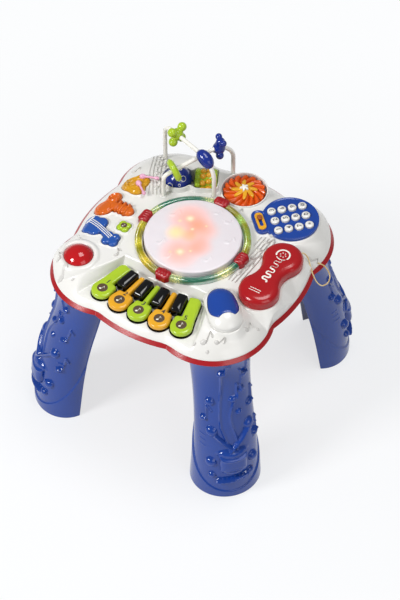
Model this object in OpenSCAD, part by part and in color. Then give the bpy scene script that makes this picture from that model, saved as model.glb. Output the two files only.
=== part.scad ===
// Musical activity table: four legs, a red base and a white deck full of things to press, turn and slide.
// Millimetres, +Z up, origin on the floor under the middle of the deck. The piano faces -Y.

/* [Deck outline] */
// Height of the rim's lower edge above the floor
rim_z = 297.5; // [230:0.5:340]
// Height of the deck's flat crown above the rim's lower edge
deck_h = 35.5; // [34:0.5:40]
// Distance of a corner circle's centre from each middle line
corner_pos = 99.3; // [97:0.1:104]
// Radius of the corner circles
corner_r = 99.5; // [97:0.5:104]
// Radius of the bowed sides
side_r = 252; // [235:1:290]
// Distance from the middle to the apex of a bowed side
side_reach = 203; // [201:0.5:206]
// Radius of the soft shoulder between the crown and the rim
shoulder_r = 74; // [68:1:84]
// Width of the red lip outside the white deck
lip_w = 6; // [4:0.5:8]
// Height of the red lip
lip_h = 7; // [5:0.5:8]
// Wall thickness of the two big shells
wall = 2.5; // [2:0.1:3]

/* [Legs] */
// Radius of the leg's C section at the floor
foot_r = 56; // [50:0.5:60]
// Radius of the leg's C section under the rim
leg_top_r = 59; // [57:0.5:60]
// How much narrower the leg gets on its way up to the flare under the rim
leg_taper = 17; // [8:0.5:18]
// Distance of the C section's centre from the middle, at the floor
foot_pos = 231; // [215:1:238]
// Distance of the C section's centre from the middle, under the rim
leg_top_pos = 178; // [176:0.5:179]
// Half of the angle that the C section spans at the leg's two ends
foot_span = 103; // [98:1:112]
// Half of the angle that the C section spans at half the leg's height
leg_span = 121; // [105:1:130]
// Wall thickness of a leg
leg_wall = 3; // [2:0.5:4]
// Height of the two tongues that plug into the base
tongue_h = 9; // [7:0.5:10]
// Thickness of the tongue
tongue_t = 6; // [4:0.5:6.5]
// Angle from the corner's axis at which a tongue starts
tongue_from = 66; // [65:1:70]
// Angle that a tongue spans
tongue_span = 22; // [14:1:22]

/* [Drum and light ring] */
// Radius of the drum pad
pad_r = 81; // [70:0.5:81.5]
// Height of the drum pad's middle above the crown
pad_rise = 18.5; // [15:0.5:22]
// Radius of the sphere that the pad's top is part of
pad_dome_r = 700; // [500:10:1200]
// Stroke of the drum pad
pad_stroke = 3; // [1:0.5:4]
// Outer radius of the light ring
ring_r = 96.3; // [95:0.1:99]
// Width of the light ring
ring_w = 12.3; // [11:0.1:13]
// Height of the light ring above the crown
ring_h = 11; // [8:0.5:13]
// Width of a ring clip along the ring
clip_w = 26; // [20:1:32]
// Reach of a ring clip across the ring
clip_l = 20; // [18:0.5:20.5]
// Height of a ring clip above the crown
clip_h = 15; // [14:0.5:18]

/* [Piano] */
// Distance from the middle of the table back to the point that the keys fan out from
fan_back = 142; // [130:1:160]
// Angle between two keys
key_step = 7; // [6.8:0.05:7.2]
// Distance from the fan point to the middle of a key's round end
knob_pos = 310; // [305:1:314]
// Radius of a key's round end
knob_r = 18; // [14:0.5:18.4]
// Width of a key's stem
stem_w = 10; // [7:0.5:11]
// Distance from the fan point to the key's hinge line
key_pivot = 256; // [253:1:259]
// Height of a key's top above the tray's floor
key_top = 12; // [11:0.5:14]
// Thickness of a key
key_t = 8; // [5:0.5:8]
// Press angle of a key
key_press = 2.5; // [1:0.1:3]
// Depth of the piano tray below the crown
tray_depth = 17; // [15:0.5:18]
// Width of a black key
black_w = 19; // [14:0.5:19.5]
// Length of a black key
black_l = 38; // [30:1:40]
// Height of a black key above the tray's floor
black_h = 18.5; // [14:0.5:22]

/* [Shaped buttons] */
// Height of the shaped buttons above the deck's skin
button_rise = 7; // [4:0.5:9]
// Stroke of the shaped buttons
button_stroke = 2.5; // [1:0.5:3]
// Radius of the red dome button
dome_r = 24; // [18:0.5:26]
// Height of the red dome above its collar
dome_h = 12; // [8:0.5:14]
// Running gap round each button
gap = 0.5; // [0.4:0.05:0.8]

/* [Keypad] */
// Radius of the blue keypad panel
panel_r = 48; // [47:0.5:50]
// Thickness of the keypad panel
panel_t = 5; // [4:0.5:6]
// Radius of a keypad cap
cap_r = 7.2; // [6:0.1:7.5]
// Height of a keypad cap above the panel
cap_rise = 3.5; // [2.5:0.5:5]
// Spacing of the caps along a column
cap_pitch = 17.8; // [17:0.1:18]
// Spacing of the three columns
column_pitch = 22; // [18:0.5:22.5]
// Stroke of a keypad cap
cap_stroke = 2; // [1:0.5:2]
// Travel of the power slider
slider_travel = 12; // [6:1:14]

/* [Handset] */
// Radius of the handset's two round ends
lobe_r = 33.5; // [31:0.5:35]
// Distance between the middles of the two ends
lobe_gap = 77; // [72:1:80]
// Width of the handset's waist
waist_w = 45; // [38:1:50]
// Thickness of the handset
handset_h = 26; // [22:0.5:30]
// Height to which the handset can be lifted
handset_lift = 60; // [30:5:80]
// Diameter of the handset's cord
cord_d = 2.2; // [1.6:0.1:2.6]

/* [Mouse] */
// Radius of the mouse's two rounded ends
mouse_r = 30; // [26:0.5:32]
// Distance between the middles of those ends
mouse_gap = 30; // [24:1:32]
// Height of the mouse above the crown
mouse_h = 23; // [20:0.5:26]
// Stroke of the mouse's button
mouse_stroke = 1.5; // [0.5:0.5:2]

/* [Spinners] */
// Radius of the orange spinner
spinner_r = 36; // [30:0.5:37]
// Radius of the spinner's bowl
bowl_r = 38.5; // [38:0.5:39.5]
// Height of the spinner's top above the crown
spinner_rise = 4; // [2:0.5:8]
// Radius of the blue ball
ball_r = 24; // [20:0.5:25]
// Radius of the bumpy roller over its bumps
roller_r = 22; // [20:0.5:22.5]
// Length of the bumpy roller
roller_l = 38; // [34:1:39]
// Height of the two spin axles above the crown
axle_rise = 3; // [2:0.5:5]
// Height of the collar round the ball and the roller
collar_h = 11; // [9:0.5:12]

/* [Bead maze] */
// Diameter of the maze's tubes
tube_d = 7.5; // [6:0.5:8]
// Height of the upper tube above the crown
upper_h = 76; // [70:1:84]
// Height at which the lower tube leaves its upright, above the crown
lower_h = 36; // [30:1:38]
// Slope of the lower tube
lower_slope = 16; // [12:0.5:18]

/* [Hidden] */
$fn = 64;
crown_z = rim_z + deck_h;
seam_z = rim_z + lip_h;
floor_z = rim_z + wall;
side_off = side_r - side_reach;
edge_h = 0.8;
SHOULDER_STEPS = 4;
shoulder_drop = crown_z - seam_z - edge_h;
shoulder_run = sqrt(pow(shoulder_r, 2) - pow(shoulder_r - shoulder_drop, 2));
fit = 0.3;
seat_z = crown_z + 0.5;
big = 600;

leg_blue = "#2f4fa0";
red = "#b5202a";
white = "#f4f3ef";
yellow = "#e8a92e";
lime = "#a9cc3a";
blue = "#24419a";
orange = "#e2741e";

seam_in = lip_w + wall + 3;
rollers_at = [-70, 116];
rollers_turn = 27;
bracket_t = 3;
ball_s = -(ball_r + bracket_t / 2 + 1);
roller_s = roller_l / 2 + bracket_t / 2 + 1;
axle_z = crown_z + axle_rise;
axle_r = 2.2;
axle_bore = axle_r + fit;
well_floor = axle_z - max(ball_r, roller_r) - 2;
spinner_at = [14, 143];
spinner_h = 16;
bowl_floor = crown_z + spinner_rise - spinner_h - 3;
hub_r = 4;
dome_at = [-144, -124];
panel_at = [114, 124];
tab_at = [75, 92];
tab_l = 28;
tab_r = 12;
handset_at = [151, -5];
mouse_at = [120, -104];
flower_at = [-114, -33];
tray_z = crown_z - tray_depth;
tray_back = 92;
tray_front = 205;
tray_half = 2 * key_step + 4.6;
pivot_z = tray_z + key_top - key_t + 2;
pivot_r = 2.2;
key_switch = 44;
key_drop = key_switch * tan(key_press) + 1.3 * fit;
battery_at = [89, 0];
bay = [46, 52, 15];
main_board_z = floor_z + 9;
low_board_z = floor_z + 4;
board_t = 1.6;
switch_h = 3.5;
switch_top = low_board_z + board_t + switch_h;
post_z = switch_top + button_stroke + fit;
post_r = 3;
flange_z = post_z - 1;
speaker_at = [-34, -24];
foot_1 = [-97, 64];
foot_2 = [-23, 105];
foot_3 = [-24, 170];
foot_4 = [-143, 143];
socket_depth = 9;
tube_r = tube_d / 2;
lower_len = norm(foot_3 - foot_1);
upper_len = norm(foot_4 - foot_2);
lower_turn = atan2(foot_3[1] - foot_1[1], foot_3[0] - foot_1[0]);
upper_turn = atan2(foot_4[1] - foot_2[1], foot_4[0] - foot_2[0]);
lower_bend = 12;
lower_end = 34;
upper_start = 38;
upper_end = 18;
screws = [[-70, -70], [72, -72], [70, 68], [-106, 28], [0, 96]];
cord_points = [[165, 59, 338], [168, 66, 338], [174, 69, 335], [181, 67, 328], [188, 62, 319],
    [196, 57, 309], [204, 55, 299], [211, 59, 290], [215, 68, 286], [216, 77, 287], [213, 84, 293],
    [206, 87, 300], [199, 86, 307], [193, 85, 308.2], [187, 85, 308.2]];
cord_gap = 0.6;

lower_start_x = lower_bend * (1 - sin(lower_slope));
lower_start_z = lower_h + lower_bend * cos(lower_slope);
lower_end_x = lower_len - lower_end * (1 + sin(lower_slope));
lower_run = (lower_end_x - lower_start_x) / cos(lower_slope);
lower_end_z = lower_start_z + lower_run * sin(lower_slope);
lower_arc_z = lower_end_z - lower_end * cos(lower_slope);
disc_at = 6;
bean_turn = 114;
clover_at = round(upper_len - upper_end) - 14;
TUBE_STEPS = 14;
TONGUE_STEPS = 6;
bead_gap = 0.5;
LEG_LEVELS = 18;
LEG_STEPS = 22;
leg_clear = 0.05;
keypad_board_z = crown_z - 12;
cap_foot = keypad_board_z + board_t + switch_h + cap_stroke + fit;

// ---- shared shapes ----
// Half section of one puck: the solid form stands on the seam, what hollows it out starts at the rim.
// The shoulder is turned in SHOULDER_STEPS cones.
module puck_profile(r, off) {
    low = off > 0 ? rim_z : seam_z;
    flat = r - lip_w - shoulder_run;
    edge_turn = asin((shoulder_run - off) / (shoulder_r - off));
    polygon(concat([[0, low], [r - lip_w - off, low]],
        [for (i = [0:SHOULDER_STEPS]) let (a = edge_turn * (1 - i / SHOULDER_STEPS))
            [flat + (shoulder_r - off) * sin(a), crown_z - shoulder_r + (shoulder_r - off) * cos(a)]],
        [[0, crown_z - off]]));
}

module at_side(i) {
    rotate(90 * i) translate([0, side_off, 0]) children();
}

module at_corners() {
    for (i = [0:3]) {
        rotate(90 * i) translate([corner_pos, corner_pos, 0]) children();
    }
}

module side_puck(i, off) {
    at_side(i) rotate_extrude($fn = 180) puck_profile(side_r, off);
}

// The deck's solid form pushed in by off: four crossed side pucks and four corner pucks
module deck_form(off) {
    intersection() {
        side_puck(0, off);
        side_puck(1, off);
        side_puck(2, off);
        side_puck(3, off);
    }
    at_corners() rotate_extrude($fn = 120) puck_profile(corner_r, off);
}

// The deck's outline in plan, pushed in by off
module outline(off) {
    intersection() {
        at_side(0) circle(side_r - off, $fn = 180);
        at_side(1) circle(side_r - off, $fn = 180);
        at_side(2) circle(side_r - off, $fn = 180);
        at_side(3) circle(side_r - off, $fn = 180);
    }
    at_corners() circle(corner_r - off, $fn = 120);
}

module bar_2d(a, b, w) {
    translate(a) rotate(atan2(b[1] - a[1], b[0] - a[0])) translate([0, -w / 2]) square([norm(b - a), w]);
}

module stadium_2d(l, r) {
    for (s = [-1, 1]) {
        translate([s * l / 2, 0]) circle(r);
    }
    square([l, 2 * r], center = true);
}

module slab(z, h) {
    translate([0, 0, z]) linear_extrude(h) children();
}

module at(p, z = 0) {
    translate([p[0], p[1], z]) children();
}

// ---- outlines of the fittings, each grown by g ----
module guitar_2d(g) {
    at([-168, -46]) circle(13.5 + g);
    at([-152, -46]) circle(12.5 + g);
    at([-153, -60]) circle(13 + g);
    at([-167, -58]) circle(12.5 + g);
    bar_2d([-152, -53], [-117, -68], 13 + 2 * g);
    for (p = [[-124, -63], [-112, -62], [-110, -73], [-122, -75]]) {
        at(p) circle(8 + g);
    }
}

module trumpet_2d(g) {
    at([-168, -11]) circle(17 + g);
    at([-165, 17]) circle(12.5 + g);
    bar_2d([-165, 18], [-166, -10], 22 + 2 * g);
    bar_2d([-162, -3], [-126, -1], 17 + 2 * g);
    at([-126, -1]) circle(9 + g);
    for (x = [-146.5, -138, -129.5]) {
        bar_2d([x, -12], [x, 12], 6 + 2 * g);
    }
}

module snare_2d(g) {
    at([-156, 59]) circle(19 + g);
    at([-147, 70]) circle(16 + g);
    at([-143, 52]) circle(14.5 + g);
}

module flower_2d(g) {
    for (i = [0:3]) {
        at(flower_at) rotate(90 * i + 45) translate([6, 0]) circle(6.5 + g);
    }
}

module sticks_2d() {
    bar_2d([-147, 76], [-122, 84], 4);
    bar_2d([-144, 59], [-123, 43], 4);
    for (p = [[-147, 76], [-144, 59]]) {
        at(p) circle(5);
    }
    for (p = [[-122, 84], [-123, 43]]) {
        at(p) circle(4);
    }
}

module strings_2d() {
    bar_2d([-176, -52], [-170, -38], 2.4);
    for (s = [-1, 0, 1]) {
        bar_2d([-172 - s * 1.5, -46 + s * 4], [-118 - s * 0.8, -67 + s * 2.2], 1.2);
    }
}

module handset_2d(g) {
    side = (pow(lobe_gap / 2, 2) + pow(waist_w / 2, 2) - pow(lobe_r, 2)) / (2 * lobe_r - waist_w);
    at(handset_at) {
        for (s = [-1, 1]) {
            translate([0, s * lobe_gap / 2]) circle(lobe_r + g, $fn = 96);
        }
        difference() {
            square([2 * lobe_r, lobe_gap], center = true);
            for (s = [-1, 1]) {
                translate([s * (waist_w / 2 + side), 0]) circle(side - g, $fn = 96);
            }
        }
    }
}

module tray_2d(g) {
    back = (fan_back + tray_back) * tan(tray_half) + g;
    front = (fan_back + tray_front) * tan(tray_half) + g;
    polygon([[-back, g - tray_back], [back, g - tray_back], [front, -tray_front], [-front, -tray_front]]);
}

module wells_2d(g) {
    at(rollers_at) rotate(rollers_turn) {
        translate([ball_s, 0]) circle(ball_r + 2 + g);
        translate([0, -roller_r - 1.5 - g])
            square([roller_s + roller_l / 2 + 1 + g, 2 * roller_r + 3 + 2 * g]);
        translate([-ball_r / 2, -ball_r / 2 - g]) square([ball_r, ball_r + 2 * g]);
    }
}

module panel_2d(g) {
    at(panel_at) circle(panel_r + g, $fn = 120);
    at(tab_at) rotate(-45) stadium_2d(tab_l, tab_r + g);
}

module mouse_2d(g) {
    at(mouse_at) rotate(-45) stadium_2d(mouse_gap, mouse_r + g);
}

// ---- places of repeated parts ----
module at_cap(row, column) {
    at(panel_at) rotate(45) translate([(row - 1.5) * cap_pitch, -column * column_pitch, 0]) children();
}

module at_key(i) {
    translate([0, fan_back, 0]) rotate(i * key_step) children();
}

// ---- base, deck and what they hold ----
module lip_profile(r) {
    polygon([[0, rim_z], [r - 1, rim_z], [r, rim_z + 1], [r - lip_w, seam_z], [0, seam_z]]);
}

module base_block() {
    intersection() {
        at_side(0) rotate_extrude($fn = 180) lip_profile(side_r);
        at_side(1) rotate_extrude($fn = 180) lip_profile(side_r);
        at_side(2) rotate_extrude($fn = 180) lip_profile(side_r);
        at_side(3) rotate_extrude($fn = 180) lip_profile(side_r);
    }
    at_corners() rotate_extrude($fn = 120) lip_profile(corner_r);
}

// The two tongues of a leg, or their socket when grown by clear, from height z to height top
module tongues(z, top, clear = 0) {
    r = leg_top_r - 1 + clear;
    turns = [for (k = [0:TONGUE_STEPS]) tongue_from - clear + (tongue_span + 2 * clear) * k / TONGUE_STEPS];
    for (side = [0, 1]) {
        mirror([0, side]) translate([leg_top_pos, 0, z]) linear_extrude(top - z) polygon(concat(
            [for (k = [0:TONGUE_STEPS]) r * [cos(turns[k]), sin(turns[k])]],
            [for (k = [0:TONGUE_STEPS]) let (a = turns[TONGUE_STEPS - k])
                (r - tongue_t - 2 * clear) * [cos(a), sin(a)]]));
    }
}

module post(p, top, r = 3) {
    at(p, rim_z) cylinder(r = r, h = top - rim_z);
}

module base_shell() {
    color(red) difference() {
        union() {
            difference() {
                base_block();
                slab(floor_z, big) outline(seam_in);
            }
            slab(rim_z, wall + bay[2] + 2) at(battery_at) square([bay[0] + 5, bay[1] + 5], center = true);
            for (turn = [45:90:315]) {
                rotate(turn) tongues(rim_z, rim_z + tongue_h + wall, wall);
            }
            for (p = [[40, -32], [36, 36], [-40, 34], [-4, -50]]) {
                post(p, main_board_z);
            }
            for (p = [[-125, -60], [-125, 66], [-165, 0], [-145, -112], [-40, -158], [40, -158]]) {
                post(p, low_board_z);
            }
            post([92, 106], keypad_board_z);
            post([140, 142], keypad_board_z);
            post([120, -104], low_board_z);
            for (p = screws) {
                post(p, seam_z, 4.5);
            }
        }
        for (turn = [45:90:315]) {
            rotate(turn) tongues(rim_z - 1, rim_z + tongue_h + fit, fit);
        }
        slab(rim_z - 1, wall + 1) at(battery_at)
            square([bay[0] + 3 + 2 * fit, bay[1] + 3 + 2 * fit], center = true);
        slab(rim_z - 1, wall + bay[2] + 1) at(battery_at) square([bay[0], bay[1]], center = true);
        for (i = [-2:2], j = [-2:2]) {
            at(speaker_at + [6 * i, 6 * j], rim_z - 1) cylinder(r = 1.5, h = wall + 2);
        }
        for (p = screws) {
            at(p, rim_z - 1) cylinder(r = 3.2, h = 5);
            at(p, rim_z - 1) cylinder(r = 1.8, h = big);
        }
    }
}

module deck_solid() {
    difference() {
        deck_form(0);
        deck_form(wall);
    }
    intersection() {
        deck_form(0);
        union() {
            slab(tray_z - wall, big) tray_2d(wall);
            for (p = [foot_1, foot_2, foot_3, foot_4]) {
                at(p, crown_z - socket_depth - 8) cylinder(r = tube_r + wall, h = big);
            }
        }
    }
    for (p = screws) {
        at(p, seam_z) cylinder(r = 4.5, h = deck_h - lip_h - 1);
    }
    at(spinner_at, bowl_floor - wall) cylinder(r = bowl_r + wall, h = crown_z + 3 - bowl_floor + wall);
    slab(well_floor - wall, crown_z + collar_h - well_floor + wall) wells_2d(wall);
    at(dome_at, seam_z + 8) cylinder(r = dome_r + 9, h = crown_z + 2 - seam_z - 8);
    slab(crown_z - 20, seat_z - crown_z + 20) panel_2d(2);
    slab(crown_z - 15, seat_z - crown_z + 15) mouse_2d(2);
    slab(crown_z - 25, seat_z - crown_z + 25) handset_2d(3);
}

module deck_shell() {
    color(white) difference() {
        deck_solid();
        slab(tray_z, big) tray_2d(0);
        at([0, 0], seam_z) cylinder(r = pad_r + gap, h = big, $fn = 128);
        at(spinner_at, bowl_floor) cylinder(r = bowl_r, h = big);
        slab(well_floor, big) wells_2d(0);
        at(rollers_at, axle_z) rotate(rollers_turn) rotate([0, 90, 0])
            cylinder(r = axle_bore, h = 120, center = true);
        at(dome_at, seam_z) cylinder(r = dome_r + 6.5, h = crown_z - seam_z - 0.5);
        at(dome_at, seam_z) cylinder(r = dome_r + gap, h = big);
        at(panel_at, seam_z) cylinder(r = panel_r - 4, h = big);
        slab(seam_z, seat_z - seam_z - wall) at(tab_at) rotate(-45) stadium_2d(tab_l, tab_r + 2 - wall);
        at(tab_at, crown_z) rotate(-45) cube([slider_travel + 14, 9, 30], center = true);
        slab(seam_z, seat_z - seam_z - wall) mouse_2d(-wall);
        at(mouse_at, seam_z) cylinder(r = 4, h = big);
        slab(crown_z - 1, big) handset_2d(0.6);
        slab(seam_z, crown_z - 1 - wall - seam_z) handset_2d(0.6);
        slab(seam_z, big) guitar_2d(gap);
        slab(seam_z, big) trumpet_2d(gap);
        slab(seam_z, big) snare_2d(gap);
        slab(seam_z, big) flower_2d(gap);
        for (i = [-2:2]) {
            at_key(i) translate([0, -key_pivot - key_switch, seam_z]) cylinder(r = 4, h = 20);
        }
        for (p = [foot_1, foot_2, foot_3, foot_4]) {
            at(p, crown_z - socket_depth) cylinder(r = tube_r + 0.2, h = big);
        }
        for (p = screws) {
            at(p, seam_z - 1) cylinder(r = 1.3, h = 16);
        }
        translate(cord_points[14]) rotate([0, 90, 0])
            cylinder(r = cord_d / 2 + cord_gap, h = 20, center = true);
    }
    color(white) {
        at(spinner_at, bowl_floor - 1) cylinder(r = hub_r, h = spinner_h + 1);
        difference() {
            at(rollers_at, well_floor - 1) rotate(rollers_turn) translate([-bracket_t / 2, -6, 0])
                cube([bracket_t, 12, axle_z - well_floor + 5]);
            at(rollers_at, axle_z) rotate(rollers_turn) rotate([0, 90, 0])
                cylinder(r = axle_bore, h = 20, center = true);
        }
        for (s = [-1, 1]) {
            at_key(2 * s) translate([s * 16.4, -key_pivot, tray_z - 1]) intersection() {
                difference() {
                    translate([-2.4, -5, 0]) cube([4.8, 10, key_top]);
                    translate([0, 0, pivot_z - tray_z + 1]) rotate([0, 90, 0])
                        cylinder(r = pivot_r + fit, h = 20, center = true);
                }
                cube(200, center = true);
            }
        }
    }
}

module battery_door() {
    color(red) slab(rim_z, wall) at(battery_at) square([bay[0] + 3, bay[1] + 3], center = true);
}

module batteries() {
    color("#c9a24a") for (i = [-1:1]) {
        at(battery_at + [15 * i, 0], floor_z + 7.1 + fit) rotate([90, 0, 0]) {
            cylinder(r = 7.1, h = 49, center = true);
            translate([0, 0, i == 0 ? 24.5 : -25.5]) cylinder(r = 2.6, h = 1);
        }
    }
}

module circuit_boards() {
    color("#1f6b45") {
        at([0, 0], main_board_z) cylinder(r = 57, h = board_t);
        slab(low_board_z, board_t) at([-141, 0]) square([56, 152], center = true);
        slab(low_board_z, board_t) at([-144, -120]) square([26, 26], center = true);
        slab(low_board_z, board_t) at([0, -155]) square([152, 24], center = true);
        slab(low_board_z, board_t) at(mouse_at) square([24, 24], center = true);
        at(panel_at, keypad_board_z) cylinder(r = 40, h = board_t);
    }
}

module one_switch(p, z) {
    at(p, z) {
        translate([-3, -3, 0]) cube([6, 6, switch_h - 1]);
        cylinder(r = 1.7, h = switch_h);
    }
}

module switches() {
    color("#33363b") {
        one_switch([0, 0], main_board_z + board_t);
        for (p = [[-156, -54], [-150, -1], [-150, 60], flower_at, dome_at, mouse_at]) {
            one_switch(p, low_board_z + board_t);
        }
        for (i = [-2:2]) {
            at_key(i) one_switch([0, -key_pivot - key_switch], low_board_z + board_t);
        }
        for (row = [0:3], column = [-1:1]) {
            at_cap(row, column) one_switch([0, 0], keypad_board_z + board_t);
        }
    }
    color("#ff9a5a") for (i = [0:5]) {
        rotate(60 * i + 20) translate([42, 0, main_board_z + board_t]) {
            cylinder(r = 2.5, h = 4);
            translate([0, 0, 4]) sphere(2.5);
        }
    }
}

module speaker() {
    color("#2b2b2e") at(speaker_at, floor_z) {
        cylinder(r = 20, h = 3);
        translate([0, 0, 3]) cylinder(r1 = 17, r2 = 9, h = 3);
        translate([0, 0, 6]) cylinder(r = 9, h = 2.5);
    }
}

module case_screws() {
    color("#b9bcc0") for (p = screws) {
        at(p, rim_z + 1.5) cylinder(r = 2.9, h = 2.4);
        at(p, rim_z + 3) cylinder(r = 1.25, h = 18);
    }
}

// ---- legs ----

// t runs from 0 at the floor to 1 at the top, which stays leg_clear below the base
function leg_pos(t) = foot_pos + (leg_top_pos - foot_pos) * (1 - cos(180 * pow(t, 1.4))) / 2;
function leg_r(t) = foot_r - leg_taper * t + (leg_top_r - foot_r + leg_taper) * pow(t, 5);
function leg_turn(t, k) = (foot_span + (leg_span - foot_span) * sin(180 * t)) * (2 * k / LEG_STEPS - 1);
function leg_point(t, r, turn) = [leg_pos(t) + r * cos(turn), r * sin(turn), (rim_z - leg_clear) * t];
function leg_loop(t) = concat(
    [for (j = [0:LEG_STEPS]) leg_point(t, leg_r(t), leg_turn(t, j))],
    [for (j = [0:LEG_STEPS]) leg_point(t, leg_r(t) - leg_wall, leg_turn(t, LEG_STEPS - j))]);

module leg(turn) {
    count = 2 * LEG_STEPS + 2;
    points = [for (i = [0:LEG_LEVELS]) each leg_loop(i / LEG_LEVELS)];
    sides = [for (i = [0:LEG_LEVELS - 1], j = [0:count - 1])
        [i * count + j, (i + 1) * count + j, (i + 1) * count + (j + 1) % count, i * count + (j + 1) % count]];
    bottom = [[for (j = [0:count - 1]) j]];
    top = [[for (j = [0:count - 1]) LEG_LEVELS * count + count - 1 - j]];
    // resize() by nothing joins the leg and its tongues as one mesh
    color(leg_blue) rotate(turn) resize([0, 0, 0]) {
        polyhedron(points = points, faces = concat(sides, bottom, top), convexity = 6);
        tongues(rim_z - 3, rim_z + tongue_h);
    }
}

module leg_front_left() { leg(225); }
module leg_front_right() { leg(315); }
module leg_back_right() { leg(45); }
module leg_back_left() { leg(135); }

// ---- drum pad and light ring ----
module pad_dome(off) {
    translate([0, 0, crown_z + pad_rise - off - pad_dome_r]) sphere(pad_dome_r, $fn = 360);
}

module drum_pad() {
    skirt_z = crown_z - wall - 3;
    color("#efeef4") difference() {
        intersection() {
            union() {
                at([0, 0], skirt_z) cylinder(r = pad_r, h = big, $fn = 128);
                at([0, 0], skirt_z) cylinder(r = pad_r + gap + 2, h = 3 - fit, $fn = 128);
            }
            pad_dome(0);
        }
        intersection() {
            at([0, 0], skirt_z - 1) cylinder(r = pad_r - wall, h = big, $fn = 128);
            pad_dome(3);
        }
    }
    color("#efeef4") intersection() {
        at([0, 0], main_board_z + board_t + switch_h + pad_stroke + fit) cylinder(r = 5, h = big);
        pad_dome(1);
    }
}

module ring_profile(grow = 0) {
    intersection() {
        union() {
            translate([ring_r - ring_w - grow, crown_z]) square([ring_w + 2 * grow, ring_h - ring_w / 2]);
            translate([ring_r - ring_w / 2, crown_z + ring_h - ring_w / 2]) circle(ring_w / 2 + grow);
        }
        translate([0, crown_z]) square([big, big]);
    }
}

module ring_part(turn) {
    rotate(turn + 0.4) rotate_extrude(angle = 89.2, $fn = 128) ring_profile();
}

module ring_yellow() {
    color("#b7b32a", 0.8) {
        ring_part(0);
        ring_part(180);
    }
}

module ring_green() {
    color("#159a78", 0.8) {
        ring_part(90);
        ring_part(270);
    }
}

module ring_clips() {
    clip_in = pad_r + gap + 0.7;
    color(red) for (i = [0:3]) {
        rotate(90 * i) difference() {
            intersection() {
                rotate(-15) rotate_extrude(angle = 30, $fn = 128) {
                    translate([clip_in, crown_z]) square([clip_l, clip_h - 5]);
                    translate([clip_in + 5, crown_z]) square([clip_l - 10, clip_h]);
                    for (s = [5, clip_l - 5]) {
                        translate([clip_in + s, crown_z + clip_h - 5]) circle(5);
                    }
                }
                translate([0, -clip_w / 2, 0]) cube([big, clip_w, big]);
            }
            translate([0, 0, -0.01]) rotate(-16) rotate_extrude(angle = 32, $fn = 128) ring_profile(fit);
        }
    }
}

// ---- piano ----
module key_2d(i) {
    outer = abs(i) == 2 ? 8 : 0;
    translate([0, -knob_pos]) circle(knob_r);
    translate([-stem_w / 2 - (i < 0 ? outer : 0), -knob_pos])
        square([stem_w + outer, knob_pos - key_pivot + 8]);
    polygon([[-stem_w / 2, -knob_pos + 24], [stem_w / 2, -knob_pos + 24], [knob_r - 2, -knob_pos + 8],
        [2 - knob_r, -knob_pos + 8]]);
}

module key(i) {
    low = stem_w / 2 + 5 + (i == -2 ? 8 : 0);
    high = stem_w / 2 + 5 + (i == 2 ? 8 : 0);
    color(i % 2 == 0 ? lime : yellow) at_key(i) {
        slab(tray_z + key_top - key_t, key_t) key_2d(i);
        translate([-low, -key_pivot, pivot_z]) rotate([0, 90, 0]) cylinder(r = pivot_r, h = low + high);
        translate([0, -key_pivot - key_switch, switch_top + key_drop])
            cylinder(r = 2, h = tray_z + key_top - key_t / 2 - switch_top - key_drop);
    }
}

module key_1() { key(-2); }
module key_2() { key(-1); }
module key_3() { key(0); }
module key_4() { key(1); }
module key_5() { key(2); }

module black_keys() {
    color("#111114") difference() {
        for (i = [-1.5:1.5]) {
            at_key(i) slab(tray_z, black_h) translate([0, -key_pivot + 6 - black_l / 2])
                square([black_w, black_l], center = true);
        }
        for (i = [-2:2]) {
            at_key(i) translate([0, -key_pivot, pivot_z]) rotate([0, 90, 0])
                cylinder(r = pivot_r + fit, h = stem_w + 11, center = true);
        }
    }
}

// ---- dome and shaped buttons ----
module red_button() {
    top = crown_z + 2;
    cap_sphere = (pow(dome_r, 2) + pow(dome_h, 2)) / (2 * dome_h);
    color("#c81a20") {
        difference() {
            union() {
                at(dome_at, top - 12) cylinder(r = dome_r, h = 12);
                at(dome_at, crown_z - 3) cylinder(r = dome_r + gap + 2, h = 2);
                intersection() {
                    at(dome_at, top - 1) cylinder(r = dome_r, h = big);
                    at(dome_at, top + dome_h - cap_sphere) sphere(cap_sphere, $fn = 120);
                }
            }
            intersection() {
                at(dome_at, top - 13) cylinder(r = dome_r - wall, h = big);
                at(dome_at, top + dome_h - cap_sphere - wall) sphere(cap_sphere, $fn = 120);
            }
        }
        at(dome_at, switch_top + button_stroke + fit)
            cylinder(r = 3, h = top + dome_h - 1 - switch_top - button_stroke);
    }
}

module button_2d(kind, g) {
    if (kind == "guitar") guitar_2d(g);
    if (kind == "trumpet") trumpet_2d(g);
    if (kind == "snare") snare_2d(g);
    if (kind == "flower") flower_2d(g);
}

// A button's shell, cut from the deck's own form, raised above it and hollow from below
module button_shell(kind, rise) {
    difference() {
        intersection() {
            side_puck(3, -rise);
            slab(flange_z, big) button_2d(kind, 0);
        }
        intersection() {
            side_puck(3, wall - rise);
            slab(flange_z - 1, big) button_2d(kind, -2);
        }
    }
}

// The flange that holds a button below the deck
module button_flange(kind) {
    intersection() {
        side_puck(3, wall + 1);
        slab(flange_z, 1.2) difference() {
            button_2d(kind, 2);
            button_2d(kind, -1);
        }
    }
}

// Shell and flange are cut free above the switch, and a post comes down to just clear of it
module shaped_button(kind, rise, press_at) {
    difference() {
        union() {
            button_shell(kind, rise);
            button_flange(kind);
        }
        at(press_at, flange_z - 1) cylinder(r = post_r, h = post_z - flange_z + 1);
    }
    intersection() {
        side_puck(3, 1 - rise);
        at(press_at, post_z) cylinder(r = post_r, h = big);
    }
}

module guitar_button() { color("#2c4fa3") shaped_button("guitar", button_rise, [-156, -54]); }
module trumpet_button() { color(orange) shaped_button("trumpet", button_rise + 1, [-150, -1]); }
module snare_button() { color("#dfa61c") shaped_button("snare", button_rise, [-150, 60]); }
module flower_button() { color("#8fae2c") shaped_button("flower", button_rise - 1, flower_at); }

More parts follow.
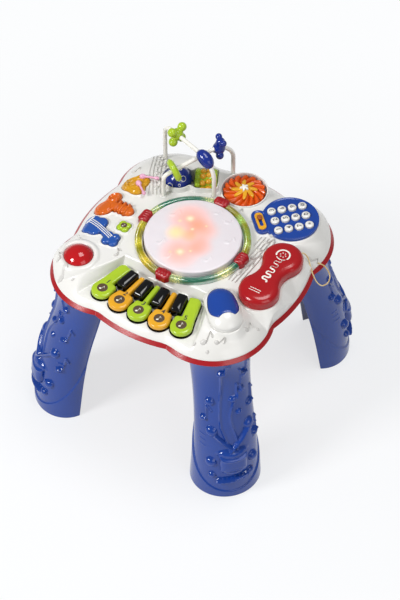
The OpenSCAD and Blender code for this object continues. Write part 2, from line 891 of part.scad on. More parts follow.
module on_button(rise, height) {
    difference() {
        intersection() {
            side_puck(3, -rise - height);
            slab(crown_z - 30, big) children();
        }
        side_puck(3, -rise);
    }
}

module guitar_strings() { color(white) on_button(button_rise, 0.8) strings_2d(); }
module drumsticks() { color("#e3a9c6") on_button(button_rise, 4) sticks_2d(); }

// ---- mouse ----
module mouse_section(off) {
    sphere_r = (pow(mouse_r + 2, 2) + pow(mouse_h, 2)) / (2 * mouse_h);
    intersection() {
        translate([0, mouse_h - sphere_r - off]) circle(sphere_r, $fn = 120);
        translate([0, 0.05]) square([mouse_r - off, mouse_h]);
    }
}

module mouse_form(off) {
    at(mouse_at, seat_z) rotate(-45) {
        for (s = [-1, 1]) {
            translate([s * mouse_gap / 2, 0, 0]) rotate_extrude() mouse_section(off);
        }
        translate([-mouse_gap / 2, 0, 0]) rotate([90, 0, 90]) linear_extrude(mouse_gap) {
            mouse_section(off);
            mirror([1, 0]) mouse_section(off);
        }
    }
}

module mouse_window_2d(g) {
    at(mouse_at) rotate(-45) difference() {
        stadium_2d(mouse_gap, mouse_r - 5 + g);
        translate([mouse_gap / 2 + 20, 0]) circle(21 - g);
    }
}

module mouse_housing() {
    color(white) difference() {
        mouse_form(0);
        slab(seat_z + 5, big) mouse_window_2d(0);
        at(mouse_at, seat_z - 1) cylinder(r = 4, h = 10);
    }
}

module mouse_button() {
    color("#2449a0") {
        intersection() {
            mouse_form(0);
            slab(seat_z + 5 + mouse_stroke + fit, big) mouse_window_2d(-gap);
        }
        at(mouse_at, switch_top + mouse_stroke + fit) cylinder(r = 3, h = seat_z + 8 - switch_top);
    }
}

// ---- keypad ----
module keypad_panel() {
    color(blue) difference() {
        slab(seat_z, panel_t) panel_2d(0);
        for (row = [0:3], column = [-1:1]) {
            at_cap(row, column) at([0, 0], seat_z - 1) cylinder(r = cap_r + 0.4, h = 20);
        }
        at(tab_at, seat_z) rotate(-45) cube([slider_travel + 11, 6, 30], center = true);
    }
}

module cap(row, column) {
    color(white) at_cap(row, column) at([0, 0], seat_z - 2) {
        difference() {
            cylinder(r = cap_r, h = panel_t + cap_rise + 2);
            translate([0, 0, -1]) cylinder(r = cap_r - 1.6, h = panel_t + cap_rise + 1);
        }
        difference() {
            cylinder(r = cap_r + 1.4, h = 2 - fit);
            translate([0, 0, -1]) cylinder(r = cap_r - 1, h = 4);
        }
        translate([0, 0, cap_foot - seat_z + 2]) cylinder(r = 2, h = seat_z + panel_t + cap_rise - 1 - cap_foot);
    }
}

module cap_3() { cap(0, -1); }
module cap_6() { cap(1, -1); }
module cap_9() { cap(2, -1); }
module cap_hash() { cap(3, -1); }
module cap_2() { cap(0, 0); }
module cap_5() { cap(1, 0); }
module cap_8() { cap(2, 0); }
module cap_0() { cap(3, 0); }
module cap_1() { cap(0, 1); }
module cap_4() { cap(1, 1); }
module cap_7() { cap(2, 1); }
module cap_star() { cap(3, 1); }

module slider_plate() {
    color("#e5b834") difference() {
        slab(seat_z + panel_t, 1.5) at(tab_at) rotate(-45) stadium_2d(24, 7);
        at(tab_at, seat_z + panel_t) rotate(-45) cube([slider_travel + 11, 6, 10], center = true);
    }
}

// The slider stands at its off end
module power_slider() {
    color("#8a4a12") at(tab_at, seat_z) rotate(-45) translate([-slider_travel / 2, 0, 0]) {
        translate([-3.5, -2.6, -wall - 1]) cube([7, 5.2, panel_t + wall + 3]);
        translate([-4.5, -3.6, -wall - 2.2]) cube([9, 7.2, 1.9]);
        translate([-5, -4, panel_t + 1.5 + fit]) cube([10, 8, 3.5]);
    }
}

// ---- handset and cord ----
module handset_lobe(r, h, round) {
    rotate_extrude($fn = 96) {
        square([r, h - round]);
        square([r - round, h]);
        intersection() {
            translate([r - round, h - round]) circle(round);
            square([r, h]);
        }
    }
}

module handset_upper_form(off) {
    h = handset_h / 2 - off;
    low = crown_z - 1 + handset_h / 2;
    for (s = [-1, 1]) {
        at(handset_at + [0, s * lobe_gap / 2], low) handset_lobe(lobe_r - off, h, 9);
    }
    slab(low, h - 4) handset_2d(-off);
    slab(low, h - 1.5) handset_2d(-off - 4);
    slab(low, h) handset_2d(-off - 9);
}

module handset_top() {
    color(red) difference() {
        handset_upper_form(0);
        translate([0, 0, -0.01]) handset_upper_form(wall);
    }
}

module handset_bottom() {
    color(red) difference() {
        slab(crown_z - 1, handset_h / 2) handset_2d(0);
        slab(crown_z - 1 + wall, handset_h) handset_2d(-wall);
        translate(cord_points[0]) rotate([0, 90, atan2(7, 3)])
            cylinder(r = cord_d / 2 + cord_gap, h = 20, center = true);
    }
}

function unit(v) = v / norm(v);
function cord_point(t) = let (n = len(cord_points) - 1, i = min(floor(t), n - 1), u = t - i,
    a = cord_points[max(i - 1, 0)], b = cord_points[i], c = cord_points[i + 1], d = cord_points[min(i + 2, n)])
    0.5 * (2 * b + (c - a) * u + (2 * a - 5 * b + 4 * c - d) * u * u + (3 * b - a - 3 * c + d) * u * u * u);

module tube_along(path, r, sides) {
    n = len(path);
    ring = [for (i = [0:n - 1]) let (
        ahead = unit(path[min(i + 1, n - 1)] - path[max(i - 1, 0)]),
        across = unit(cross(ahead, [0.3, 0.5, 0.81])),
        up = cross(ahead, across))
        each [for (j = [0:sides - 1]) path[i] + r * (cos(360 * j / sides) * across + sin(360 * j / sides) * up)]];
    walls = [for (i = [0:n - 2], j = [0:sides - 1])
        [i * sides + j, (i + 1) * sides + j, (i + 1) * sides + (j + 1) % sides, i * sides + (j + 1) % sides]];
    polyhedron(points = ring, faces = concat(walls, [[for (j = [0:sides - 1]) j]],
        [[for (j = [0:sides - 1]) n * sides - 1 - j]]), convexity = 8);
}

module handset_cord() {
    n = len(cord_points) - 1;
    color("#e8cf9a") tube_along([for (i = [0:4 * n]) cord_point(i / 4)], cord_d / 2, 8);
}

// ---- spinners ----
module spinner_wheel() {
    low = crown_z + spinner_rise - spinner_h;
    color("#e0561e") difference() {
        union() {
            at(spinner_at, low) cylinder(r = spinner_r - 8, h = spinner_h - 1);
            for (i = [0:11]) {
                at(spinner_at, low) rotate(30 * i) translate([spinner_r - 8, 0, 0])
                    cylinder(r = 7, h = spinner_h - 3);
            }
        }
        at(spinner_at, low - 1) cylinder(r = hub_r + fit, h = big);
    }
}

module spinner_star() {
    top = crown_z + spinner_rise - 1;
    color("#efb33a") at(spinner_at, top) {
        for (i = [0:5]) {
            rotate(60 * i) slab(0, 3.5) {
                translate([16, 0]) circle(4.5);
                translate([0, -3.5]) square([16, 7]);
            }
        }
        cylinder(r = 9, h = 5);
    }
    color(white) at(spinner_at, top) cylinder(r = 6, h = 7.5);
}

module spin_ball() {
    color("#1c2f86") at(rollers_at, axle_z) rotate(rollers_turn) translate([ball_s, 0, 0]) {
        sphere(ball_r, $fn = 120);
        rotate([0, 90, 0]) cylinder(r = axle_r, h = 2 * ball_r + 5, center = true);
    }
}

module bumpy_roller() {
    at(rollers_at, axle_z) rotate(rollers_turn) translate([roller_s, 0, 0]) rotate([0, 90, 0]) {
        color("#8fbe2c") {
            cylinder(r = roller_r - 5, h = roller_l, center = true);
            cylinder(r = axle_r, h = roller_l + 5, center = true);
            for (i = [0:8], s = [-1, 1]) {
                rotate(40 * i) translate([roller_r - 5, 0, s * (roller_l / 2 - 5)]) sphere(4.9);
            }
        }
        color("#ee9a22") for (i = [0:8], s = [-1, 1]) {
            rotate(40 * i + 20) translate([roller_r - 4.5, 0, s * 4.9]) sphere(4.4);
        }
    }
}

// ---- bead maze ----

module at_lower(x, z) {
    at(foot_1, crown_z) rotate(lower_turn) translate([x, 0, z]) children();
}

module at_upper(x, z) {
    at(foot_2, crown_z) rotate(upper_turn) translate([x, 0, z]) children();
}

// Points of a quarter or part turn in a tube's upright plane, from angle a1 to a2 above its run
function turn(x, z, r, a1, a2) = [for (k = [0:TUBE_STEPS]) let (a = a1 + (a2 - a1) * k / TUBE_STEPS)
    [x + r * cos(a), 0, z + r * sin(a)]];
function lower_path() = concat([[0, 0, -socket_depth]], turn(lower_bend, lower_h, lower_bend, 180, 90 + lower_slope),
    turn(lower_len - lower_end, lower_arc_z, lower_end, 90 + lower_slope, 0), [[lower_len, 0, -socket_depth]]);
function upper_path() = concat([[0, 0, -socket_depth]], turn(upper_start, upper_h - upper_start, upper_start, 180, 90),
    turn(upper_len - upper_end, upper_h - upper_end, upper_end, 90, 0), [[upper_len, 0, -socket_depth]]);

module maze_tube_lower() { color("#edebe4") at_lower(0, 0) tube_along(lower_path(), tube_r, 20); }
module maze_tube_upper() { color("#edebe4") at_upper(0, 0) tube_along(upper_path(), tube_r, 20); }

module bead_disc() {
    color("#a5c626") at_lower(lower_start_x, lower_start_z) rotate([0, 90 - lower_slope, 0]) difference() {
        union() {
            translate([0, 0, disc_at]) cylinder(r = 19, h = 11);
            translate([0, 0, disc_at + 2.5]) cylinder(r = 21, h = 6);
        }
        cylinder(r = tube_r + bead_gap, h = 60);
    }
}

// Part of a ring in the upright plane of a tube, from angle a1 to a2 above its run
module bend(r, a1, a2, thick) {
    rotate([90, 0, 0]) rotate(a1) rotate_extrude(angle = a2 - a1, $fn = 96) translate([r, 0]) circle(thick);
}

module bead_bean() {
    color(blue) at_upper(upper_start, upper_h - upper_start) difference() {
        union() {
            bend(upper_start, bean_turn - 16, bean_turn + 16, 9.5);
            bend(upper_start, bean_turn - 10, bean_turn + 10, 11.5);
        }
        bend(upper_start, 0, 360, tube_r + bead_gap);
    }
}

module bead_lobes() {
    color(blue) at_lower(lower_len - lower_end, lower_arc_z) difference() {
        rotate([0, 12, 0]) translate([0, 0, lower_end]) {
            sphere(11);
            translate([0, 0, 13]) sphere(8);
            for (s = [-1, 1]) {
                translate([0, 9 * s, 17]) sphere(6);
                translate([0, 8 * s, -10]) sphere(7);
            }
        }
        rotate([90, 0, 0]) rotate_extrude($fn = 96) translate([lower_end, 0]) circle(tube_r + bead_gap);
    }
}

module bead_clover() {
    color("#a5c626") at_upper(clover_at, upper_h) rotate([0, 90, 0]) difference() {
        union() {
            sphere(11);
            for (s = [-1, 1]) {
                translate([-11, 11 * s, 0]) sphere(8);
                translate([12, 9 * s, 0]) sphere(8);
            }
        }
        cylinder(r = tube_r + bead_gap, h = 60, center = true);
    }
}

base_shell();
deck_shell();
battery_door();
batteries();
circuit_boards();
switches();
speaker();
case_screws();
leg_front_left();
leg_front_right();
leg_back_right();
leg_back_left();
drum_pad();
ring_yellow();
ring_green();
ring_clips();
key_1();
key_2();
key_3();
key_4();
key_5();
black_keys();
red_button();
guitar_button();
guitar_strings();
trumpet_button();
snare_button();
drumsticks();
flower_button();
mouse_housing();
mouse_button();
keypad_panel();
cap_1();
cap_2();
cap_3();
cap_4();
cap_5();
cap_6();
cap_7();
cap_8();
cap_9();
cap_star();
cap_0();
cap_hash();
slider_plate();
power_slider();
handset_top();
handset_bottom();
handset_cord();
spinner_wheel();
spinner_star();
spin_ball();
bumpy_roller();
maze_tube_lower();
maze_tube_upper();
bead_disc();
bead_bean();
bead_lobes();
bead_clover();
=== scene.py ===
# %% [markdown]
# # A musical activity table
# This lesson dresses a table for small children: a white deck with a drum, a piano, a toy telephone,
# spinners and a bead maze, on a red base and four blue legs. Nearly every piece is injection-moulded
# plastic. The frame gives the real pieces at their real size, and the lesson puts a finely modelled skin
# in the place of each piece that shows. All sizes are in millimetres and turn into metres when a mesh is
# made.

# %% Load the frame
import math

import bpy
import numpy as np
from mathutils import Matrix, Vector


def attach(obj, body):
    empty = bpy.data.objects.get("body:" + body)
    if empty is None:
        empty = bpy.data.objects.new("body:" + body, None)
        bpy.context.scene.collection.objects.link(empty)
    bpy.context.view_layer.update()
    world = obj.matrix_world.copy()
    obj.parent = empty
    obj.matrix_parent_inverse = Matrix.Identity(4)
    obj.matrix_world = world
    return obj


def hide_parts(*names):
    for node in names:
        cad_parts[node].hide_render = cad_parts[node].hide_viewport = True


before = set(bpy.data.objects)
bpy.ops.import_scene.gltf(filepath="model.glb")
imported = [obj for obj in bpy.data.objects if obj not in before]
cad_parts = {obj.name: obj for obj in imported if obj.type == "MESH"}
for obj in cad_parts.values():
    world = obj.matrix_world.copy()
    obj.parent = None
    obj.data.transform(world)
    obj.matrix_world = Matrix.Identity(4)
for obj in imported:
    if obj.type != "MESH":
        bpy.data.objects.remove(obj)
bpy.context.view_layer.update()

MM = 0.001
TABLE = "table"

# %% [markdown]
# ## The camera
# A product picture of a low table is taken from standing height with a long lens. The camera stands 3 m
# away, 48 degrees above the horizon, and is turned a little off its aim so that the table lies where it
# should in an upright frame. The focal length is a share of the frame's long side.

# %% Camera
# angles in radians, lengths in metres, the sensor in millimetres
AZIMUTH, ELEVATION = 0.55248, 0.83722
DISTANCE, AIM_HEIGHT = 3.0632, 0.3275
PAN, TILT = 0.003627, -0.030542
SENSOR, FOCAL_SHARE = 36.0, 1855 / 600


def turned(a, b, angle):
    return a * math.cos(angle) + b * math.sin(angle)


def place_camera():
    away = Vector((math.sin(AZIMUTH) * math.cos(ELEVATION), -math.cos(AZIMUTH) * math.cos(ELEVATION),
                   math.sin(ELEVATION)))
    up_axis = Vector((0, 0, 1))
    right = (-away).cross(up_axis).normalized()
    look = turned(turned(-away, right.cross(-away), TILT), right, PAN).normalized()
    side = look.cross(up_axis).normalized()
    axes = Matrix((side, side.cross(look), -look)).transposed()
    data = bpy.data.cameras.new("camera")
    data.sensor_width = SENSOR
    data.lens = SENSOR * FOCAL_SHARE
    camera = bpy.data.objects.new("camera", data)
    bpy.context.scene.collection.objects.link(camera)
    camera.matrix_world = Matrix.Translation(away * DISTANCE + Vector((0, 0, AIM_HEIGHT))) @ axes.to_4x4()
    bpy.context.scene.camera = camera
    return camera


camera = place_camera()
print("camera at", [round(v, 3) for v in camera.location], "lens", round(camera.data.lens, 1), "mm")

# %% [markdown]
# ## Sizes shared with the frame
# A skin can only sit on its piece if both use the same sizes. These are the table's driving sizes: the
# deck's outline, its crown height, and where each fitting stands.

# %% Sizes
RIM_Z, CROWN_Z, SEAM_Z = 297.5, 333.0, 304.5
SEAT_Z = CROWN_Z + 0.5
# the rim: a disc at each corner, a wide arc along each side
CORNER_POS, CORNER_R = 99.3, 99.5
SIDE_OFF, SIDE_R = 49.0, 252.0
SHOULDER_R, LIP_W = 74.0, 6.0
DROP = CROWN_Z - SEAM_Z - 0.8
SHOULDER_RUN = math.sqrt(SHOULDER_R ** 2 - (SHOULDER_R - DROP) ** 2)
# the piano: keys that fan out from a point, in a sunken tray
TRAY_DEPTH = 17
TRAY_Z = CROWN_Z - TRAY_DEPTH
FAN = (0.0, 142.0)
KEY_STEP, KNOB_POS, KNOB_R = math.radians(7), 310.0, 18.0
# the fittings' places and sizes
DOME_AT, DOME_R = (-144.0, -124.0), 24.0
PANEL_AT, PANEL_R, TAB_AT = (114.0, 124.0), 48.0, (75.0, 92.0)
HANDSET_AT, LOBE_R, LOBE_GAP, WAIST_W, HANDSET_H = (151.0, -5.0), 33.5, 77.0, 45.0, 26.0
MOUSE_AT, MOUSE_R, MOUSE_GAP, MOUSE_H = (120.0, -104.0), 30.0, 30.0, 23.0
FLOWER_AT = (-114.0, -33.0)
SPINNER_AT, BOWL_R, SPINNER_R = (14.0, 143.0), 38.5, 36.0
ROLLERS_AT, ROLLERS_TURN = (-70.0, 116.0), math.radians(27)
BALL_R, ROLLER_R, ROLLER_L, AXLE_Z = 24.0, 22.0, 38.0, CROWN_Z + 3
BALL_S, ROLLER_S = -26.5, 21.5
PAD_R, RING_R, RING_W, RING_H = 81.0, 96.3, 12.3, 11.0
PAD_TOP, PAD_DOME_R = CROWN_Z + 18.5, 700.0

# %% [markdown]
# ## Distance fields
# Each flat outline is written as a distance field: a function that is negative inside the shape, zero on
# its outline and positive outside, in millimetres. Fields join with min, cut with max, and their smooth
# versions give the soft inner corners of moulded plastic. One field serves the piece, the hole that it
# sits in and the raised edge round it, so the gap between them is even by itself.

# %% Fields


def disc(x, y, at, r):
    return np.hypot(x - at[0], y - at[1]) - r


def smooth_min(a, b, k):
    h = np.clip(0.5 + 0.5 * (b - a) / k, 0, 1)
    return b + (a - b) * h - k * h * (1 - h)


def smooth_max(a, b, k):
    return -smooth_min(-a, -b, k)


def blend_step(v):
    t = np.clip(v, 0, 1)
    return t * t * (3 - 2 * t)


def bar(x, y, a, b, r):
    dx, dy = b[0] - a[0], b[1] - a[1]
    t = np.clip(((x - a[0]) * dx + (y - a[1]) * dy) / (dx * dx + dy * dy), 0, 1)
    return np.hypot(x - a[0] - t * dx, y - a[1] - t * dy) - r


def box(x, y, half_x, half_y, r):
    qx, qy = np.abs(x) - half_x + r, np.abs(y) - half_y + r
    return np.hypot(np.maximum(qx, 0), np.maximum(qy, 0)) + np.minimum(np.maximum(qx, qy), 0) - r


def local(x, y, at, turn):
    c, s = math.cos(turn), math.sin(turn)
    return (x - at[0]) * c + (y - at[1]) * s, (y - at[1]) * c - (x - at[0]) * s


# %% Outlines


def rim(x, y):
    corners = disc(np.abs(x), np.abs(y), (CORNER_POS, CORNER_POS), CORNER_R)
    sides = np.maximum(disc(x, np.abs(y), (0, -SIDE_OFF), SIDE_R), disc(np.abs(x), y, (-SIDE_OFF, 0), SIDE_R))
    return smooth_min(corners, sides, 8)


DIAGONAL = math.radians(-45)
VALVES = (-146.5, -138, -129.5)
FLOWER_PETALS = [(FLOWER_AT[0] + 6 * math.cos(a), FLOWER_AT[1] + 6 * math.sin(a))
                 for a in (math.radians(45 + 90 * i) for i in range(4))]


def guitar(x, y):
    body = smooth_min(disc(x, y, (-168, -46), 13.5), disc(x, y, (-152, -46), 12.5), 4)
    body = smooth_min(body, smooth_min(disc(x, y, (-153, -60), 13), disc(x, y, (-167, -58), 12.5), 4), 4)
    head = smooth_min(disc(x, y, (-124, -63), 8), disc(x, y, (-112, -62), 8), 3)
    head = smooth_min(head, smooth_min(disc(x, y, (-110, -73), 8), disc(x, y, (-122, -75), 8), 3), 3)
    return smooth_min(smooth_min(body, bar(x, y, (-152, -53), (-117, -68), 6.5), 3), head, 3)


def trumpet(x, y):
    bell = smooth_min(disc(x, y, (-168, -11), 17), disc(x, y, (-165, 17), 12.5), 3)
    bell = smooth_min(bell, bar(x, y, (-165, 16), (-166, -9), 11.5), 3)
    horn = smooth_min(bar(x, y, (-160, -3), (-126, -1), 8.5), disc(x, y, (-126, -1), 9), 3)
    whole = smooth_min(bell, horn, 3)
    for at in VALVES:
        whole = smooth_min(whole, bar(x, y, (at, -10.5), (at, 10.5), 3), 2)
    return whole


def snare(x, y):
    whole = smooth_min(disc(x, y, (-156, 59), 19), disc(x, y, (-147, 70), 16), 3)
    return smooth_min(whole, disc(x, y, (-143, 52), 14.5), 3)


def flower(x, y):
    whole = np.full(np.shape(x), 99.0)
    for petal in FLOWER_PETALS:
        whole = smooth_min(whole, disc(x, y, petal, 6.5), 1.5)
    return whole


def handset(x, y):
    """Two round lobes and a narrow waist, whose arcs meet the lobes without a kink."""
    lx, ly = np.abs(x - HANDSET_AT[0]), np.abs(y - HANDSET_AT[1])
    side = ((LOBE_GAP / 2) ** 2 + (WAIST_W / 2) ** 2 - LOBE_R ** 2) / (2 * LOBE_R - WAIST_W)
    middle = WAIST_W / 2 + side
    past_join = lx / middle + ly / (LOBE_GAP / 2) > 1
    return np.where(past_join, np.hypot(lx, ly - LOBE_GAP / 2) - LOBE_R, side - np.hypot(lx - middle, ly))


def mouse(x, y):
    lx, ly = local(x, y, MOUSE_AT, DIAGONAL)
    return bar(lx, ly, (-MOUSE_GAP / 2 - 2, 0), (MOUSE_GAP / 2 + 2, 0), MOUSE_R - 2.5)


def mouse_window(x, y):
    lx, ly = local(x, y, MOUSE_AT, DIAGONAL)
    whole = smooth_min(disc(lx, ly, (-16, 0), MOUSE_R - 9), disc(lx, ly, (4, 0), MOUSE_R - 5.5), 14)
    return smooth_max(whole, -disc(lx, ly, (42, 0), 21.5), 2)


def panel(x, y):
    lx, ly = local(x, y, TAB_AT, DIAGONAL)
    return smooth_min(disc(x, y, PANEL_AT, PANEL_R), bar(lx, ly, (-14, 0), (14, 0), 12), 3)


def wells(x, y):
    lx, ly = local(x, y, ROLLERS_AT, ROLLERS_TURN)
    return smooth_min(disc(lx, ly, (BALL_S, 0), BALL_R + 2), box(lx - 20.5, ly, 21, ROLLER_R + 1.5, 8), 5)


def spinner(x, y):
    return disc(x, y, SPINNER_AT, BOWL_R)


print("deck apex", round(float(-rim(0.0, 0.0)), 1), "mm from the rim")

# %% [markdown]
# ## The deck's height
# The deck is a soft cushion of plastic: flat on top, with a round shoulder down to the red lip. Its
# height depends only on the distance from the rim. Pedestals, collars and the sloped piano tray are then
# blended in with smooth minimum and maximum, as a mould maker would blend them with fillets.

# %% Deck height
TRAY_TURN, TRAY_REAR_Y, WALL_SLOPE = math.radians(18.6), -92, 1.9
BUTTON_STEP, PEDESTAL_SLOPE = 1.5, 1.3
HUMP_R, HUMP_RISE = 29.5, 3


def shoulder(x, y):
    reach = np.clip(LIP_W + SHOULDER_RUN + rim(x, y), 0, SHOULDER_RUN)
    return CROWN_Z - SHOULDER_R + np.sqrt(SHOULDER_R ** 2 - reach ** 2)


def tray(x, y):
    """The sunken tray: two walls along the fan of keys, of which the left one leans out to the front."""
    ahead = FAN[1] - y
    c, s = math.cos(TRAY_TURN), math.sin(TRAY_TURN)
    right, left = x * c - ahead * s, -x * c - ahead * s
    run = 3 + 22 * np.clip((ahead - 234) / 96, 0, 1)
    walls = smooth_max(right * WALL_SLOPE, left * TRAY_DEPTH / run, 2)
    return TRAY_Z + smooth_max(smooth_max(walls, (y - TRAY_REAR_Y) * 2.0, 3), 0, 2)


def pedestal(z, field, margin):
    return smooth_max(z, SEAT_Z - 0.2 - PEDESTAL_SLOPE * np.maximum(field - margin, 0), 2)


def deck_z(x, y):
    z = shoulder(x, y)
    for field in (guitar, trumpet, snare, flower):
        z = z + BUTTON_STEP * blend_step((4.5 - field(x, y)) / 2.5)
    for field, margin in ((panel, 2.5), (handset, 3), (mouse, 2.5)):
        z = pedestal(z, field(x, y), margin)
    hump = disc(x, y, DOME_AT, HUMP_R)
    z = smooth_max(z, CROWN_Z + HUMP_RISE - hump ** 2 / 12, 1.5)
    return smooth_min(z, tray(x, y), 3.5)


print("deck height at its middle", round(float(deck_z(np.array(0.0), np.array(0.0))), 1))

# %% [markdown]
# ## Meshing a field
# A field becomes a mesh by laying a square grid over it, sliding the grid points that lie close to the
# outline onto it, and cutting the cells that the outline crosses. The border then is a clean loop, from
# which further rings of faces can be drawn out: a rounded edge, a wall, the inside of a hole.

# %% Mesh a field


def slope_of(field, x, y):
    h = 0.05
    gx = (field(x + h, y) - field(x - h, y)) / (2 * h)
    gy = (field(x, y + h) - field(x, y - h)) / (2 * h)
    size = np.maximum(np.hypot(gx, gy), 1e-6)
    return gx / size, gy / size


def region(field, low, high, step):
    """Points, faces and border loops of the part of the plane where field is below zero."""
    x, y = np.meshgrid(np.arange(low[0], high[0] + step, step), np.arange(low[1], high[1] + step, step),
                       indexing="ij")
    f = field(x, y)
    near = np.abs(f) < 0.35 * step
    gx, gy = slope_of(field, x[near], y[near])
    x[near] -= f[near] * gx
    y[near] -= f[near] * gy
    f[near] = 0
    number = np.full(f.shape, -1)
    number[f <= 0] = np.arange((f <= 0).sum())
    points = list(zip(x[f <= 0], y[f <= 0]))
    corners = np.stack([number[:-1, :-1], number[1:, :-1], number[1:, 1:], number[:-1, 1:]], -1)
    full = (corners >= 0).all(-1)
    faces = [list(q) for q in corners[full].tolist()]
    crossing = {}

    def cut(a, b):
        key = (min(a, b), max(a, b))
        if key not in crossing:
            t = f[a] / (f[a] - f[b])
            crossing[key] = len(points)
            points.append((x[a] + t * (x[b] - x[a]), y[a] + t * (y[b] - y[a])))
        return crossing[key]

    for i, j in zip(*np.nonzero((corners >= 0).any(-1) & ~full)):
        ring = [(i, j), (i + 1, j), (i + 1, j + 1), (i, j + 1)]
        face = []
        for k, a in enumerate(ring):
            b = ring[(k + 1) % 4]
            if f[a] <= 0:
                face.append(int(number[a]))
            if (f[a] < 0 < f[b]) or (f[b] < 0 < f[a]):
                face.append(cut(a, b))
        if len(face) > 2:
            faces.append(face)
    return np.array(points), faces, border_loops(faces)


def border_loops(faces):
    edges = {(face[k - 1], face[k]) for face in faces for k in range(len(face))}
    onward = {}
    for a, b in edges:
        if (b, a) not in edges:
            onward.setdefault(a, []).append(b)
    loops = []
    while onward:
        start = min(onward)
        loop, at = [start], onward[start].pop()
        while at != start and onward.get(at):
            loop.append(at)
            at = onward[at].pop()
        onward = {a: bs for a, bs in onward.items() if bs}
        if len(loop) > 7:
            loops.append(loop)
    return loops


# %% Grow a skin


class Skin:
    """Points and faces of a mesh that grows from a meshed field."""

    def __init__(self, flat, faces, height):
        self.flat = [flat]
        self.z = [height(flat[:, 0], flat[:, 1])]
        self.faces = list(faces)
        self.count = len(flat)

    def ring(self, flat, z):
        self.flat.append(flat)
        self.z.append(np.broadcast_to(z, len(flat)))
        self.count += len(flat)
        return list(range(self.count - len(flat), self.count))

    def strip(self, before, after):
        for k in range(len(before)):
            self.faces.append([before[k], before[k - 1], after[k - 1], after[k]])

    def draw_out(self, loop, field, steps, inward=False):
        """Rings from a border loop, each some way out of the meshed part and at its own height."""
        start = np.concatenate(self.flat)[loop]
        gx, gy = slope_of(field, start[:, 0], start[:, 1])
        way = np.stack([gx, gy], -1) * (-1 if inward else 1)
        for out, height in steps:
            flat = start + out * way
            ring = self.ring(flat, height(flat[:, 0], flat[:, 1]))
            self.strip(loop, ring)
            loop = ring
        return loop

    def points(self):
        return np.column_stack([np.concatenate(self.flat), np.concatenate(self.z)])


# %% [markdown]
# ## Colours and plastics
# Colours are written as sRGB hex codes and turned to linear light by one function. Moulded ABS is a hard,
# glossy plastic with an index of refraction of 1.53. Seen closely it isn't even: the melt leaves faint
# flow clouds a few centimetres wide, the polished mould gives patches that are a little duller, and the
# mould's fine grain breaks up the highlights. The grain, some tenths of a millimetre on the real piece,
# is drawn coarser here so that it shows.

# %% Materials
ABS_IOR = 1.53


def linear(code):
    levels = [int(code[i:i + 2], 16) / 255 for i in (1, 3, 5)]
    return [v / 12.92 if v <= 0.04045 else ((v + 0.055) / 1.055) ** 2.4 for v in levels] + [1.0]


def add(tree, kind, settings=None, links=None):
    """A node with its settings and links; a number picks a socket by its place, where names repeat."""
    node = tree.nodes.new(kind)
    for key, value in (settings or {}).items():
        if isinstance(key, str) and hasattr(node, key):
            setattr(node, key, value)
        else:
            node.inputs[key].default_value = value
    for key, source in (links or {}).items():
        tree.links.new(source, node.inputs[key])
    return node


def started(name):
    material = bpy.data.materials.new(name)
    material.use_nodes = True
    material.node_tree.nodes.clear()
    return material, material.node_tree


def moulded(name, colour, shade, roughness=0.24, grain_mm=1.1, depth_mm=0.012, cloud_mm=38, bevel_mm=0):
    """Injection-moulded plastic: flow clouds in the colour, dull patches and a fine grain in the gloss."""
    material, tree = started(name)
    place = add(tree, "ShaderNodeTexCoord").outputs["Object"]
    clouds = add(tree, "ShaderNodeTexNoise", {"Scale": 1 / (cloud_mm * MM), "Detail": 3}, {"Vector": place})
    tint = add(tree, "ShaderNodeMix", {"data_type": "RGBA", 6: linear(colour), 7: linear(shade)},
               {0: clouds.outputs["Fac"]})
    patches = add(tree, "ShaderNodeTexNoise", {"Scale": 1 / (9 * MM), "Detail": 2}, {"Vector": place})
    gloss = add(tree, "ShaderNodeMapRange", {3: roughness - 0.05, 4: roughness + 0.07},
                {0: patches.outputs["Fac"]})
    grain = add(tree, "ShaderNodeTexNoise", {"Scale": 1 / (grain_mm * MM), "Detail": 2}, {"Vector": place})
    bump = add(tree, "ShaderNodeBump", {"Strength": 0.5, "Distance": depth_mm * MM},
               {"Height": grain.outputs["Fac"]})
    if bevel_mm:
        soft = add(tree, "ShaderNodeBevel", {"samples": 6, "Radius": bevel_mm * MM})
        tree.links.new(soft.outputs[0], bump.inputs["Normal"])
    finish = add(tree, "ShaderNodeBsdfPrincipled", {"IOR": ABS_IOR},
                 {"Base Color": tint.outputs[2], "Roughness": gloss.outputs[0], "Normal": bump.outputs[0]})
    add(tree, "ShaderNodeOutputMaterial", links={"Surface": finish.outputs[0]})
    return material


WHITE_ABS = moulded("white_abs", "#E6E5E1", "#DFDDD8", 0.2, cloud_mm=70)
# painted shade: a darker copy of the deck's white ABS for its raised marks, standing in for the shadow round
# them
EMBOSS_WHITE_PAINTED_SHADE = moulded("raised_white_abs", "#D2D0CC", "#C9C7C2", 0.3)
RED_ABS = moulded("red_abs", "#A9161E", "#9A1119", 0.22, bevel_mm=1.2)
BLUE_ABS = moulded("blue_abs", "#15429A", "#10398C", 0.13, cloud_mm=60)
HANDSET_RED = moulded("handset_red_abs", "#AE1219", "#9E0D14", 0.17)
PANEL_BLUE = moulded("panel_blue_abs", "#1A459D", "#153B8D", 0.17)
GUITAR_BLUE = moulded("guitar_blue_abs", "#2456A8", "#1C4A9A", 0.18)
DEEP_BLUE = moulded("deep_blue_abs", "#182F8C", "#12277C", 0.15)
LIME_ABS = moulded("lime_abs", "#AECB30", "#A0BD24", 0.12)
AMBER_ABS = moulded("amber_abs", "#E8AC2C", "#DB9B1C", 0.12)
ORANGE_ABS = moulded("orange_abs", "#DB6A14", "#CC5A0D", 0.2)
SPINNER_ORANGE = moulded("spinner_orange_abs", "#E05C14", "#CF4E0D", 0.17)
DRUM_YELLOW = moulded("drum_yellow_abs", "#D39B18", "#C58C10", 0.2)
BLACK_ABS = moulded("black_abs", "#030304", "#060608", 0.06)
PINK_ABS = moulded("pink_abs", "#E9B1CB", "#E1A2C0", 0.25)
DOME_RED = moulded("dome_red_abs", "#BC1218", "#AD0D13", 0.07)
